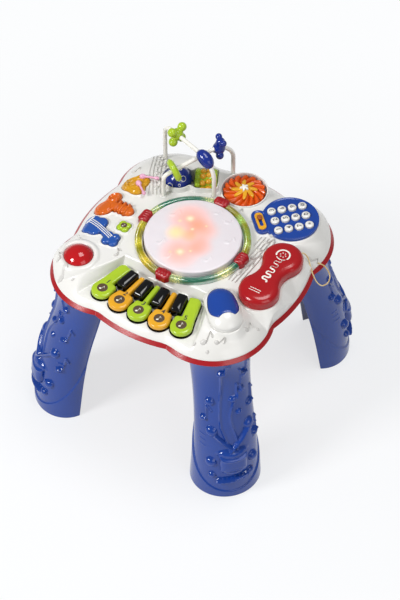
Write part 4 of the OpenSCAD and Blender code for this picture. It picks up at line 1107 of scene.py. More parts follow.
emboss = []
for control, across in STAFFS:
    base_line = staff_line(control)
    for k in range(-2, 3):
        line = base_line + np.array(across) * k * 0.95
        keep = [p for p in line if np.hypot(*p) > 101 and all(field(*p) > gap for field, gap in KEEP_CLEAR)]
        if len(keep) > 4:
            emboss.append(stroke(keep, 1.9, 2.0, deck_z, 8))
    for k in range(3, 44, 7):
        emboss += quaver(tuple(base_line[k]), 3.2, deck_z, 2.8, 0.5 * math.sin(k))
for at, size, turn in DECK_NOTES:
    emboss += quaver(at, size * 1.15, deck_z, 2.6, turn)
emboss += [spot(at, 2.7, 2.2, deck_z) for at in DECK_DOTS]
# painted shade: the raised marks are the deck's white, drawn darker to stand in for their shadow
piece("deck_embossing", *gathered(emboss), EMBOSS_WHITE_PAINTED_SHADE, slot="white_abs")
print("deck embossing:", len(emboss), "marks")

# %% [markdown]
# ## Piano
# Five keys fan out from a point behind the drum. A key is a round paddle on a narrow stem, with soft
# edges and a slightly swollen top. The black keys are fixed blocks with the mirror gloss of polished ABS.
# A thin black film on the tray, a little wider than the keys together, is painted shade: it makes the narrow
# gap round each key read as a dark line, as the shadow in that gap would.

# %% Piano keys
KEY_TOP_Z = TRAY_Z + 12
BADGE_R, DIGIT_SIZE, DIGIT_SHIFT = 8.8, 12.5, 2.5


def key_field(i):
    """Key i from the middle, which is 0; the two outer keys have a stem that is wide on one side."""
    wide = (i > 1) - (i < -1)

    def field(x, y):
        lx, ly = local(x, y, FAN, i * KEY_STEP)
        stem = box(lx - 3.7 * wide, ly + 279, 5 + 3.7 * abs(wide), 31, 1.5)
        neck = box(lx, ly + 300, 15.8, 9.2, 6)
        whole = smooth_min(smooth_min(disc(lx, ly, (0, -KNOB_POS), KNOB_R), neck, 3), stem, 4)
        if wide:
            whole = smooth_min(whole, bar(lx, ly, (wide * 8.4, -304), (wide * 8.4, -257), 8.2), 3)
        return whole
    return field


def in_fan(i, p):
    a = i * KEY_STEP
    c, s = math.cos(a), math.sin(a)
    return (FAN[0] + p[0] * c - p[1] * s, FAN[1] + p[0] * s + p[1] * c)


def make_key(number, i):
    name, body = "key_skin_%d" % number, "piano_%d" % number
    key_z = swollen(key_field(i), KEY_TOP_Z, 1.9, 4.0)
    plate(name, key_field(i), *around(in_fan(i, (0, -282)), 48), 0.8, key_z, 2.6, KEY_TOP_Z - 8,
          AMBER_ABS if i % 2 else LIME_ABS, body, ["key_%d" % number], rounds=6,
          slot="yellow_abs" if i % 2 else "lime_abs")
    at = in_fan(i, (0, -309.5))
    face = raised(key_z, 0.22)
    plate(name + "_badge", lambda x, y: disc(x, y, at, BADGE_R), *around(at, 10), 0.6, face, 0.12,
          KEY_TOP_Z - 1.4, BROWN_ABS, body, rounds=2, slot="brown_abs")
    note = quaver(in_fan(i, (-1.6, -313)), 1.6, face, 0.35, i * KEY_STEP)
    piece(name + "_note", *gathered(note), REFLECTOR, body, slot="white_abs")
    place = in_fan(i, (DIGIT_SHIFT * ((i > 1) - (i < -1)), -293.5))
    digit = glyph(str(number), place, DIGIT_SIZE, math.pi / 2 + i * KEY_STEP, raised(key_z, 0.1))
    piece(name + "_digit", *digit, INK, body, slot="brown_abs")


for number, i in enumerate(range(-2, 3), 1):
    make_key(number, i)

# %% Key gap and black keys


def keys_together(x, y):
    return np.minimum.reduce([key_field(i)(x, y) for i in range(-2, 3)])


# painted shade: a black sheet on the tray where the gaps round the keys hold only shadow
plate("key_gap_film", raised(keys_together, -1.5), *around(in_fan(0, (0, -285)), 98), 1.2,
      level(TRAY_Z + 0.75), 0.1, TRAY_Z + 0.05, BLACK_ABS, TABLE, rounds=2, slot="black_abs")


def make_black_key(number, i):
    def field(x, y):
        lx, ly = local(x, y, FAN, i * KEY_STEP)
        return box(lx, ly + 269, 9.5, 19, 4.5)

    def top(x, y):
        ahead = np.clip(-263 - local(x, y, FAN, i * KEY_STEP)[1], 0, 40)
        return swollen(field, TRAY_Z + 18.8, 3.6, 3.6)(x, y) - 0.0035 * ahead ** 2

    plate("black_key_skin_%d" % number, field, *around(in_fan(i, (0, -269)), 26), 0.8, top, 3.4,
          TRAY_Z + 0.05, BLACK_ABS, TABLE, ["black_keys"] if number == 1 else [], rounds=6, slot="black_abs")


for number in range(1, 5):
    make_black_key(number, number - 2.5)
print("piano: keys", KNOB_R * 2, "mm wide at the front")

# %% [markdown]
# ## Dome and shaped buttons
# Each shaped button is cut by the same field as its hole, half a millimetre smaller, and swells towards
# its middle. Details are added to its height: the bell and valves of the trumpet, the hoops and cords of
# the snare.

# %% Buttons
RISE = 7.0


def puffed(field, rise, swell=1.9, reach=4.5):
    return swollen(field, raised(shoulder, rise), swell, reach)


def button(name, field, top, low, high, material, body, nodes, slot, edge=2.4):
    return plate(name, field, low, high, 0.8, top, edge, raised(shoulder, -5), material, body, nodes,
                 rounds=6, slot=slot)


# %% Dome
DOME_RISE, DOME_SIDES = 12, 96
dome_sphere = (DOME_R ** 2 + DOME_RISE ** 2) / (2 * DOME_RISE)
dome_edge = math.degrees(math.asin(DOME_R / dome_sphere))
dome_profile = arc(0, CROWN_Z + 14 - dome_sphere, dome_sphere, 89.8, 90 - dome_edge + 2, 24)
dome_profile += [(DOME_R - 0.25, CROWN_Z + 2.3), (DOME_R, CROWN_Z + 1.4), (DOME_R, CROWN_Z - 8)]
points, faces = lathe(dome_profile, DOME_AT, DOME_SIDES)
piece("dome_skin", points, faces + [list(range(DOME_SIDES))], DOME_RED, "red_dome", ["red_button"],
      slot="red_abs")
print("dome: part of a sphere of", round(dome_sphere, 1), "mm radius")

# %% Guitar
guitar_top = puffed(guitar, RISE)
button("guitar_skin", guitar, guitar_top, (-190, -92), (-96, -26), GUITAR_BLUE, "guitar", ["guitar_button"],
       "blue_abs")
strings = [stroke([(-172 + s * 1.2 + k * 54 / 12, -46 + s * 3.1 - k * 21 / 12) for k in range(13)],
                  1.5, 0.9, guitar_top, 8) for s in (-1, 0, 1)]
strings.append(stroke([(-176 + 0.6 * k, -52 + 1.4 * k) for k in range(11)], 2.4, 0.9, guitar_top, 8))
strings += [spot((-116 + 3.6 * s, -66 + 2.5 * abs(s)), 1.2, 0.7, guitar_top) for s in (-1, 1)]
piece("guitar_strings_skin", *gathered(strings), TUBE_WHITE, "guitar", ["guitar_strings"], slot="white_abs")

# %% Trumpet
BELL_AT, BELL_R, BELL_INNER = (-165, 15), 9.4, 8.4


def trumpet_top(x, y):
    z = puffed(trumpet, RISE + 0.4)(x, y)
    bell = disc(x, y, BELL_AT, 0)
    z = z + 2.2 * bump_of(np.abs(bell - BELL_R) - 1.2, 1.4) - 2.2 * blend_step((BELL_INNER - bell) / 4)
    for at in VALVES:
        z = z + 2.3 * bump_of(bar(x, y, (at, -9.5), (at, 9.5), 2.2), 1.4)
        z = z + 0.9 * bump_of(disc(x, y, (at, 6.5), 2.3), 1.2)
    return z - 1.2 * bump_of(np.abs(disc(x, y, (-168, -11), 12)) - 0.5, 0.9)


button("trumpet_skin", trumpet, trumpet_top, (-188, -32), (-112, 34), ORANGE_ABS, "trumpet",
       ["trumpet_button"], "orange_abs")

# %% Snare and sticks
STICK_ENDS = (((-147, 76), (-122, 84)), ((-144, 59), (-123, 43)))
STICK_HEAD, STICK_TIP, STICK_R, STICK_LIFT = 6.2, 4.2, 1.9, 1.2


def snare_top(x, y):
    z = puffed(snare, RISE - 0.4)(x, y)
    lx, ly = local(x, y, (-152, 60), math.radians(55))
    hoop = np.abs(np.hypot(lx / 1.5, ly + 1.0) - 9.5) - 0.9
    z = z + 1.9 * bump_of(hoop, 1.1)
    for k in range(4):
        cord_line = bar(x, y, (-172 + 3 * k, 66 - 9 * k), (-160 + 3 * k, 50 + 3 * k), 0.9)
        z = z + 1.8 * bump_of(cord_line, 1.0)
    return z + 1.4 * bump_of(np.abs(snare(x, y) + 4.2) - 0.9, 1.0)


button("snare_skin", snare, snare_top, (-178, 34), (-124, 90), DRUM_YELLOW, "snare", ["snare_button"],
       "yellow_abs")
sticks = []
for head, tip in STICK_ENDS:
    t = np.linspace(0, 1, 13)
    x, y = head[0] + t * (tip[0] - head[0]), head[1] + t * (tip[1] - head[1])
    z = shoulder(x, y) + RISE + STICK_LIFT
    r = np.interp(t, [0, 0.12, 0.24, 0.8, 0.92, 1],
                  [STICK_HEAD * 0.8, STICK_HEAD * 0.75, STICK_R, STICK_R, STICK_TIP * 0.75, STICK_TIP * 0.8])
    sticks.append(sweep(np.column_stack([x, y, z + 0.5]), r, 18, ends=5))
piece("sticks_skin", *gathered(sticks), PINK_ABS, "snare", ["drumsticks"], slot="pink_abs")

# %% Flower
flower_top = puffed(flower, RISE - 1.2, 2.2, 3.5)
flower_face = raised(flower_top, 0.2)
button("flower_skin", flower, flower_top, *around(FLOWER_AT, 16), LIME_ABS, "flower", ["flower_button"],
       "lime_abs", 1.8)
plate("flower_badge", lambda x, y: disc(x, y, FLOWER_AT, 5.4), *around(FLOWER_AT, 7), 0.5, flower_face, 0.12,
      raised(flower_top, -0.5), BROWN_ABS, "flower", rounds=2, slot="brown_abs")
note = quaver((FLOWER_AT[0] - 1.2, FLOWER_AT[1] - 2.2), 1.05, flower_face, 0.3)
piece("flower_note", *gathered(note), REFLECTOR, "flower", slot="white_abs")

# %% [markdown]
# ## Mouse, keypad and handset
# The mouse and the handset are thick rounded lumps, so they get wide edge radii. The keypad is a thin
# panel with twelve round caps standing in round holes, each cap a small dome with a printed character.

# %% Mouse
MOUSE_SPHERE = ((MOUSE_R + 2) ** 2 + MOUSE_H ** 2) / (2 * MOUSE_H)


def mouse_z(x, y):
    d = np.clip(mouse(x, y) + MOUSE_R - 2.5, 0, MOUSE_R)
    return SEAT_Z + MOUSE_H - 1.5 - MOUSE_SPHERE + np.sqrt(MOUSE_SPHERE ** 2 - d ** 2)


def mouse_shell(x, y):
    return np.maximum(mouse(x, y), -mouse_window(x, y))


plate("mouse_skin", mouse_shell, *around(MOUSE_AT, 48), 0.9, mouse_z, 0.9, SEAT_Z + 0.05, WHITE_ABS, TABLE,
      ["mouse_housing"], rounds=3, slot="white_abs")
mouse_key = raised(mouse_window, 0.5)
plate("mouse_button_skin", mouse_key, *around(MOUSE_AT, 48), 0.9, swollen(mouse_key, mouse_z, 1.1, 2.5), 1.2,
      SEAT_Z + 7, PANEL_BLUE, "mouse", ["mouse_button"], rounds=4, slot="blue_abs")
print("mouse: crown radius", round(MOUSE_SPHERE, 1), "mm")

# %% Keypad
CAPS = {key: (row, column) for column, keys in ((-1, ("3", "6", "9", "hash")), (0, ("2", "5", "8", "0")),
                                                (1, ("1", "4", "7", "star")))
        for row, key in enumerate(keys)}
CAP_R, CAP_SIDES, PANEL_TOP = 7.2, 40, SEAT_Z + 5
CREST = PANEL_TOP + 3.5
CAP_PITCH, CAP_ROWS_APART, COS_45 = 17.8, 22.0, math.sqrt(0.5)


def cap_at(row, column):
    lx, ly = (row - 1.5) * CAP_PITCH, -column * CAP_ROWS_APART
    return (PANEL_AT[0] + COS_45 * (lx - ly), PANEL_AT[1] + COS_45 * (lx + ly))


def panel_holes(x, y):
    whole = panel(x, y)
    for row, column in CAPS.values():
        whole = np.maximum(whole, -disc(x, y, cap_at(row, column), CAP_R + 0.4))
    return whole


def panel_top(x, y):
    return PANEL_TOP - 0.9 + 0.9 * blend_step((panel(x, y) + 3.4) / 1.4)


plate("panel_skin", panel_holes, (48, 66), (166, 176), 0.9, panel_top, 0.8, SEAT_Z + 0.05, PANEL_BLUE, TABLE,
      ["keypad_panel"], rounds=3, slot="keypad_blue")
cap_profile = [(0.3, CREST), (3.0, CREST - 0.12), (5.0, CREST - 0.45)]
cap_profile += arc(CAP_R - 1.8, CREST - 2.5, 1.8, 80, 0, 8) + [(CAP_R, SEAT_Z - 0.3)]
for key, place in CAPS.items():
    at, body = cap_at(*place), "phone_" + key
    points, faces = lathe(cap_profile, at, CAP_SIDES)
    piece("cap_skin_" + key, points, faces + [list(range(CAP_SIDES))], WHITE_ABS, body, ["cap_" + key],
          slot="white_abs")
    sign = {"star": "*", "hash": "#"}.get(key, key)
    piece("cap_sign_" + key, *glyph(sign, at, 10.5, math.radians(225), CREST - 0.12), INK, body,
          slot="black_abs")
print("keypad:", len(CAPS), "caps")

# %% Power slider


def slider_field(x, y):
    lx, ly = local(x, y, TAB_AT, DIAGONAL)
    return np.maximum(bar(lx, ly, (-12, 0), (12, 0), 7), -bar(lx, ly, (-8.6, 0), (8.6, 0), 3))


plate("slider_plate_skin", slider_field, *around(TAB_AT, 22), 0.6, level(PANEL_TOP + 1.5), 0.7,
      PANEL_TOP - 0.85, AMBER_ABS, TABLE, ["slider_plate"], rounds=3, slot="yellow_abs")
knob_at = (TAB_AT[0] - 6 * COS_45, TAB_AT[1] + 6 * COS_45)


def knob_field(x, y):
    return box(*local(x, y, knob_at, DIAGONAL), 5, 4, 2)


def knob_top(x, y):
    lx, _ = local(x, y, knob_at, DIAGONAL)
    return PANEL_TOP + 5.1 - 0.5 * (np.abs((lx + 10) % 2.2 - 1.1) < 0.4)


plate("slider_knob_skin", knob_field, *around(knob_at, 7), 0.3, knob_top, 0.9, PANEL_TOP + 1.8,
      KNOB_BROWN, "power", ["power_slider"], rounds=4, slot="brown_abs")

# %% Handset
HANDSET_SEAM = CROWN_Z - 1 + HANDSET_H / 2
handset_box = around(HANDSET_AT, (38, 76))
handset_z = swollen(raised(handset, 8), HANDSET_SEAM + HANDSET_H / 2 - 3.4, 1.4, 6)
plate("handset_top_skin", handset, *handset_box, 1.1, handset_z, 10.0, HANDSET_SEAM + 0.15, HANDSET_RED,
      "handset", ["handset_top"], rounds=12, slot="red_abs")
plate("handset_bottom_skin", raised(handset, 0.25), *handset_box, 1.2, level(HANDSET_SEAM - 0.1), 0.5,
      CROWN_Z - 0.95, HANDSET_RED, "handset", ["handset_bottom"], rounds=2, slot="red_abs")
print("handset seam at", HANDSET_SEAM, "mm")

# %% Handset marks
EARPIECE_AT, EARPIECE_R, SLOTS_AT = (HANDSET_AT[0], 33.5), 11, (140, -52)


def arc_mark(start, stop, count, width, height):
    path = [(EARPIECE_AT[0] + EARPIECE_R * math.cos(a), EARPIECE_AT[1] + EARPIECE_R * math.sin(a))
            for a in np.linspace(start, stop, count)]
    return stroke(path, width, height, handset_z, 10)


wave = []
for k in range(9):
    y0, x0 = -30 + 6.2 * k, -5.0 if k % 2 else 5.0
    for across, up in ((x0, 0), (x0, 1.2), (x0 * 0.7, 3), (0, 3.1), (-x0 * 0.7, 3.3), (-x0, 4.9)):
        wave.append((HANDSET_AT[0] + across, y0 + up))
white_marks = [stroke(wave, 3.3, 0.5, handset_z, 10), arc_mark(-0.4, math.pi + 0.4, 30, 3.0, 0.5),
               arc_mark(math.pi + 0.8, 2 * math.pi - 0.8, 20, 1.5, 0.4)]
for a in np.radians(range(0, 360, 60)):
    at = (EARPIECE_AT[0] + 4.6 * math.cos(a), EARPIECE_AT[1] + 4.6 * math.sin(a))
    white_marks.append(spot(at, 1.1, 0.4, handset_z))
for k in range(5):
    for y in (SLOTS_AT[1], SLOTS_AT[1] - 4.5):
        x = SLOTS_AT[0] + 4 * k
        white_marks.append(stroke([(x, y), (x + 2.4, y)], 1.5, 0.4, handset_z, 8))
piece("handset_marks", *gathered(white_marks), TUBE_WHITE, "handset", slot="white_abs")

# %% [markdown]
# ## Cord
# The handset hangs on a short braided cord, 2.2 mm thick. It leaves the side of the handset, sags over
# the rim in one loop and comes back up into the deck's flank. Two strands wind round each other along the
# route.

# %% Cord
CORD_D, CORD_SIDES, CORD_LAY = 2.2, 16, 3.4
CORD_POINTS = [(165, 59, 338), (168, 66, 338), (174, 69, 335), (181, 67, 328), (188, 62, 319), (196, 57, 309),
               (204, 55, 299), (211, 59, 290), (215, 68, 286), (216, 77, 287), (213, 84, 293), (206, 87, 300),
               (199, 86, 307), (193, 85, 308.2), (187, 85, 308.2)]


def through(control, steps):
    p = np.array([control[0]] + list(control) + [control[-1]], float)
    out = []
    for i in range(len(control) - 1):
        a, b, c, d = p[i:i + 4]
        for u in np.arange(steps) / steps:
            out.append(0.5 * (2 * b + (c - a) * u + (2 * a - 5 * b + 4 * c - d) * u * u
                              + (3 * b - a - 3 * c + d) * u ** 3))
    return np.array(out + [p[-2]])


cord_line = through(CORD_POINTS, 14)
cord_length = float(np.linalg.norm(np.diff(cord_line, axis=0), axis=1).sum())
points, faces = sweep(cord_line, CORD_D / 2, CORD_SIDES, ends=0)
along = np.repeat(np.arange(len(cord_line)), CORD_SIDES) * cord_length / len(cord_line)
around_cord = np.tile(np.arange(CORD_SIDES), len(cord_line)) * 2 * math.pi / CORD_SIDES
centres = np.repeat(cord_line, CORD_SIDES, axis=0)
braid = 1 - 0.09 * (0.5 - 0.5 * np.cos(2 * around_cord - along * 2 * math.pi / CORD_LAY))
points = centres + (points - centres) * braid[:, None]


def braided(name, colour, shade, lay_mm):
    """Braided polyester: two colours wound round, a fibrous bump and a soft sheen."""
    material, tree = started(name)
    place = add(tree, "ShaderNodeTexCoord").outputs["Object"]
    bands = add(tree, "ShaderNodeTexWave",
                {"Scale": 0.16 / (lay_mm * MM), "Distortion": 1.5, "bands_direction": "DIAGONAL"},
                {"Vector": place})
    tint = add(tree, "ShaderNodeMix", {"data_type": "RGBA", 6: linear(colour), 7: linear(shade)},
               {0: bands.outputs["Fac"]})
    fibres = add(tree, "ShaderNodeTexNoise", {"Scale": 1 / (0.5 * MM), "Detail": 4}, {"Vector": place})
    bump = add(tree, "ShaderNodeBump", {"Strength": 0.6, "Distance": 0.1 * MM},
               {"Height": fibres.outputs["Fac"]})
    finish = add(tree, "ShaderNodeBsdfPrincipled", {"Roughness": 0.7, "Sheen Weight": 0.3, "IOR": 1.5},
                 {"Base Color": tint.outputs[2], "Normal": bump.outputs[0]})
    add(tree, "ShaderNodeOutputMaterial", links={"Surface": finish.outputs[0]})
    return material


CORD_CREAM = braided("braided_polyester", "#EFD79F", "#DDBB78", CORD_LAY)
cord = piece("cord_skin", points, faces, CORD_CREAM, TABLE, ["handset_cord"], slot="cord")
print("cord", round(cord_length), "mm")

# %% [markdown]
# ## Spinners
# The wheel has sixteen slanted petals, so its height follows a rounded wave round the axle that is skewed
# with the radius. The ball and the roller turn on one level axle.

# %% Spinner wheel
PETALS, PETAL_SLANT = 16, 0.75


def swirl(x, y, count, slant):
    """The radius, and a wave with so many crests that lag behind with the radius."""
    lx, ly = x - SPINNER_AT[0], y - SPINNER_AT[1]
    r = np.hypot(lx, ly)
    return r, np.abs(np.cos(count / 2 * (np.arctan2(ly, lx) + slant * r / SPINNER_R)))


def wheel_field(x, y):
    r, wave_height = swirl(x, y, PETALS, PETAL_SLANT)
    return r - (SPINNER_R - 2.2) - 2.1 * wave_height


def wheel_top(x, y):
    r, wave_height = swirl(x, y, PETALS, PETAL_SLANT)
    grow = blend_step((r - 7) / 12)
    return CROWN_Z + 3.0 - 6.0 * grow * (1 - wave_height ** 0.75) - 1.2 * blend_step((r - 24) / 12)


def star_field(x, y):
    r, wave_height = swirl(x, y, 8, 0.5)
    return (r - 9 - 15 * wave_height ** 3) * 0.5


def star_top(x, y):
    r, _ = swirl(x, y, 8, 0.5)
    return CROWN_Z + 6.5 - 1.8 * (r / 20) ** 2


def hub_field(x, y):
    r, wave_height = swirl(x, y, 5, 0.0)
    return (r - 4 - 4.5 * wave_height ** 4) * 0.6


def star_hub_top(x, y):
    return CROWN_Z + 10.4 - 0.03 * ((x - SPINNER_AT[0]) ** 2 + (y - SPINNER_AT[1]) ** 2)


plate("wheel_skin", wheel_field, *around(SPINNER_AT, 37), 0.7, wheel_top, 1.6, CROWN_Z - 11.9, SPINNER_ORANGE,
      "spinner", ["spinner_wheel"], rounds=4, slot="orange_abs")
plate("star_skin", star_field, *around(SPINNER_AT, 26), 0.6, star_top, 1.2, CROWN_Z + 1.2, AMBER_ABS,
      "spinner", ["spinner_star"], rounds=4, slot="yellow_abs")
plate("star_hub_skin", hub_field, *around(SPINNER_AT, 11), 0.4, star_hub_top, 0.8, CROWN_Z + 6.0, TUBE_WHITE,
      "spinner", rounds=4, slot="white_abs")
print("wheel:", PETALS, "petals")

# %% Axle
UP = np.array((0, 0, 1.0))
STUB_R = 2.2
axle_way = np.array((math.cos(ROLLERS_TURN), math.sin(ROLLERS_TURN), 0.0))
axle_side = np.array((-math.sin(ROLLERS_TURN), math.cos(ROLLERS_TURN), 0.0))
axle_start = np.array((ROLLERS_AT[0], ROLLERS_AT[1], AXLE_Z))


def on_axle(p):
    """A point given as (along the axle, across, up)."""
    p = np.atleast_2d(np.array(p, float))
    return axle_start + p[:, :1] * axle_way + p[:, 1:2] * axle_side + p[:, 2:3] * UP


def turned_on_axle(profile, sides=96):
    """A profile of (along, radius) turned about the axle."""
    p = np.array([(s, r * math.cos(2 * math.pi * j / sides), r * math.sin(2 * math.pi * j / sides))
                  for s, r in profile for j in range(sides)])
    n = len(profile)
    ends = [list(range(sides)), [(n - 1) * sides + j for j in range(sides)]]
    return on_axle(p), tube_faces(n, sides) + ends


# %% Ball
ball_profile = []
for k in range(61):
    a = math.pi * (0.5 + 59 * k / 60) / 60
    along, r = -BALL_R * math.cos(a), BALL_R * math.sin(a)
    seam = 0.5 * math.exp(-(along / 0.5) ** 2)
    ball_profile.append((BALL_S + along, r - seam))
ball_profile = [(BALL_S - BALL_R - 2.5, STUB_R)] + ball_profile + [(BALL_S + BALL_R + 2.3, STUB_R)]
piece("ball_skin", *turned_on_axle(ball_profile), DEEP_BLUE, "ball", ["spin_ball"], slot="blue_abs")


def ring_on_ball(tilt, across, reach, width):
    """A raised ring on the ball, centred on the direction given by two angles."""
    c = np.array((math.sin(across), math.cos(across) * math.cos(tilt), math.cos(across) * math.sin(tilt)))
    u = np.cross(c, (1.0, 0.3, 0.2))
    u /= np.linalg.norm(u)
    v = np.cross(c, u)
    path = []
    for b in np.linspace(0, 2 * math.pi, 34):
        p = c * math.cos(reach) + (u * math.cos(b) + v * math.sin(b)) * math.sin(reach)
        path.append((BALL_S + BALL_R * p[0], BALL_R * p[1], BALL_R * p[2]))
    return sweep(on_axle(path), width / 2, 10, flat=0.45, ends=2)


ball_marks = []
for degrees in range(0, 360, 72):
    for across in (-0.5, 0.45):
        tilt = math.radians(degrees + (36 if across > 0 else 0) + 20)
        ball_marks.append(ring_on_ball(tilt, across, 0.2, 1.7))
        ball_marks.append(ring_on_ball(tilt + 0.5, across * 0.4, 0.09, 1.5))
piece("ball_marks", *gathered(ball_marks), TUBE_WHITE, "ball", slot="white_abs")

# %% Roller
core, half = ROLLER_R - 5.2, ROLLER_L / 2
drum_profile = [(-half - 2.3, STUB_R), (-half, STUB_R), (-half, core - 2), (-half + 0.6, core - 0.6),
                (-half + 2, core), (half - 2, core), (half - 0.6, core - 0.6), (half, core - 2),
                (half, STUB_R), (half + 2.5, STUB_R)]


def lump(along, out, degrees, r, stretch=1):
    """A small ball on the roller, at a place along it and a distance from its axle."""
    p, sides, rings, turn = [], 20, 12, math.radians(degrees)
    centre = (ROLLER_S + along, out * math.cos(turn), out * math.sin(turn))
    for k in range(1, rings):
        a = math.pi * k / rings
        p += [(centre[0] + r * stretch * math.cos(a), centre[1] + r * math.sin(a) * math.cos(b),
               centre[2] + r * math.sin(a) * math.sin(b))
              for b in (2 * math.pi * j / sides for j in range(sides))]
    ends = [list(range(sides)), [(rings - 2) * sides + j for j in range(sides)]]
    return on_axle(p), tube_faces(rings - 1, sides) + ends


lime_lumps, orange_lumps = [turned_on_axle([(ROLLER_S + s, r) for s, r in drum_profile], 64)], []
for k in range(9):
    for s in (-1, 1):
        lime_lumps.append(lump(s * (half - 5.2), core - 0.3, 40 * k + 6 * s, 5.2))
        orange_lumps.append(lump(s * 5.0, core + 0.2, 40 * k + 20 - 5 * s, 4.9, 1.1))
        lime_lumps.append(lump(s * (half - 3.4), core - 1.6, 40 * k + 20 + 4 * s, 3.2))
piece("roller_skin", *gathered(lime_lumps), LIME_ABS, "roller", ["bumpy_roller"], slot="lime_abs")
piece("roller_bumps", *gathered(orange_lumps), AMBER_ABS, "roller", slot="orange_abs")
print("roller:", len(lime_lumps) + len(orange_lumps) - 1, "lumps")

# %% [markdown]
# ## Bead maze
# Two white tubes rise from sockets in the deck. Each bead has a real bore a millimetre wider than its
# tube. The lumpy beads are balls melted together: joined, remeshed to one skin, smoothed, and bored.

# %% Maze tubes
FEET = [(-97.0, 64.0), (-23.0, 105.0), (-24.0, 170.0), (-143.0, 143.0)]
TUBE_R, SOCKET = 3.75, 9.0
SLOPE_DEG = 16
SLOPE = math.radians(SLOPE_DEG)
LOWER_NEAR_R, LOWER_FAR_R, LOWER_NEAR_Z = 12, 34, 36
UPPER_NEAR_R, UPPER_FAR_R, UPPER_TOP = 38, 18, 76


def upright_plane(foot, other):
    """The upright plane through two feet, as a function that puts points of it in place, and its length."""
    turn = math.atan2(other[1] - foot[1], other[0] - foot[0])
    length = math.hypot(other[0] - foot[0], other[1] - foot[1])
    way = np.array((math.cos(turn), math.sin(turn), 0.0))
    side = np.array((-way[1], way[0], 0.0))
    start = np.array((foot[0], foot[1], CROWN_Z))

    def put(p):
        p = np.atleast_2d(np.array(p, float))
        return start + p[:, :1] * way + p[:, 1:2] * side + p[:, 2:3] * UP
    return put, length


def bow(x, z, r, a0, a1, n=20):
    return [(x + r * math.cos(a), 0, z + r * math.sin(a)) for a in np.radians(np.linspace(a0, a1, n + 1))]


def straight(x, z0, z1, n):
    return [(x, 0, z) for z in np.linspace(z0, z1, n)]


lower, lower_len = upright_plane(FEET[0], FEET[2])
upper, upper_len = upright_plane(FEET[1], FEET[3])
start_x = LOWER_NEAR_R * (1 - math.sin(SLOPE))
start_z = LOWER_NEAR_Z + LOWER_NEAR_R * math.cos(SLOPE)
run = (lower_len - LOWER_FAR_R * (1 + math.sin(SLOPE)) - start_x) / math.cos(SLOPE)
arc_x, arc_z = lower_len - LOWER_FAR_R, start_z + run * math.sin(SLOPE) - LOWER_FAR_R * math.cos(SLOPE)
lower_path = (straight(0, -SOCKET, 34, 8)
              + bow(LOWER_NEAR_R, LOWER_NEAR_Z, LOWER_NEAR_R, 180, 90 + SLOPE_DEG, 14)
              + bow(arc_x, arc_z, LOWER_FAR_R, 90 + SLOPE_DEG, 0, 26)
              + straight(lower_len, arc_z - 4, -SOCKET, 7))
upper_path = (straight(0, -SOCKET, 34, 6)
              + bow(UPPER_NEAR_R, UPPER_TOP - UPPER_NEAR_R, UPPER_NEAR_R, 180, 90, 26)
              + bow(upper_len - UPPER_FAR_R, UPPER_TOP - UPPER_FAR_R, UPPER_FAR_R, 90, 0, 18)
              + straight(upper_len, UPPER_TOP - UPPER_FAR_R - 4, -SOCKET, 8))
for name, put, path in (("lower", lower, lower_path), ("upper", upper, upper_path)):
    piece("maze_" + name + "_skin", *sweep(put(path), TUBE_R, 28, ends=0), TUBE_WHITE, TABLE,
          ["maze_tube_" + name], slot="tube_white")
print("maze: feet", round(lower_len), "and", round(upper_len), "mm apart")

# %% Tube collars
COLLAR = ((0.2, -3), (0.2, 1.2), (0.7, 1.7), (1.5, 1.7), (2.2, 1.1), (3.4, -0.5))
collars = []
for foot in FEET:
    z = float(deck_z(np.array(foot[0]), np.array(foot[1])))
    collars.append(lathe([(TUBE_R + out, z + up) for out, up in COLLAR], foot, 40))
piece("tube_collars", *gathered(collars), WHITE_ABS, slot="white_abs")

# %% Lumpy beads
VOXEL_MM, SMOOTHINGS = 0.75, 14
BORE_R = TUBE_R + 0.5


def melted(name, balls, bore_path, material, body, node, slot):
    """Balls (centre, radius) joined to one smooth lump, with a bore along a path."""
    lump = bpy.data.objects.new(name, bpy.data.meshes.new(name))
    points, faces = gathered([(np.array(c) + r * SPHERE_POINTS, SPHERE_FACES) for c, r in balls])
    lump.data.from_pydata((np.array(points) * MM).tolist(), [], faces)
    bpy.context.scene.collection.objects.link(lump)
    remesh = lump.modifiers.new("remesh", "REMESH")
    remesh.mode, remesh.voxel_size = "VOXEL", VOXEL_MM * MM
    relax = lump.modifiers.new("relax", "SMOOTH")
    relax.factor, relax.iterations = 0.5, SMOOTHINGS
    cutter_points, cutter_faces = sweep(bore_path, BORE_R, 28, ends=0)
    mesh = bpy.data.meshes.new("bore")
    mesh.from_pydata((cutter_points * MM).tolist(), [], cutter_faces)
    cutter = bpy.data.objects.new("bore", mesh)
    bpy.context.scene.collection.objects.link(cutter)
    cut = lump.modifiers.new("bore", "BOOLEAN")
    cut.object, cut.operation, cut.solver = cutter, "DIFFERENCE", "EXACT"
    mesh = lump.evaluated_get(bpy.context.evaluated_depsgraph_get()).to_mesh()
    points = np.array([v.co for v in mesh.vertices]) / MM
    faces = [list(face.vertices) for face in mesh.polygons]
    for made in (cutter, lump):
        bpy.data.objects.remove(made)
    return piece(name, points, faces, material, body, [node], sharp=45, slot=slot)


def unit_sphere(sides, rings):
    p = [(math.sin(a) * math.cos(b), math.sin(a) * math.sin(b), math.cos(a))
         for a in (math.pi * k / rings for k in range(1, rings))
         for b in (2 * math.pi * j / sides for j in range(sides))]
    faces = [[a, d, c, b] for a, b, c, d in tube_faces(rings - 1, sides)]
    ends = [list(range(sides)), [(rings - 2) * sides + j for j in reversed(range(sides))]]
    return np.array(p), faces + ends


SPHERE_POINTS, SPHERE_FACES = unit_sphere(28, 16)

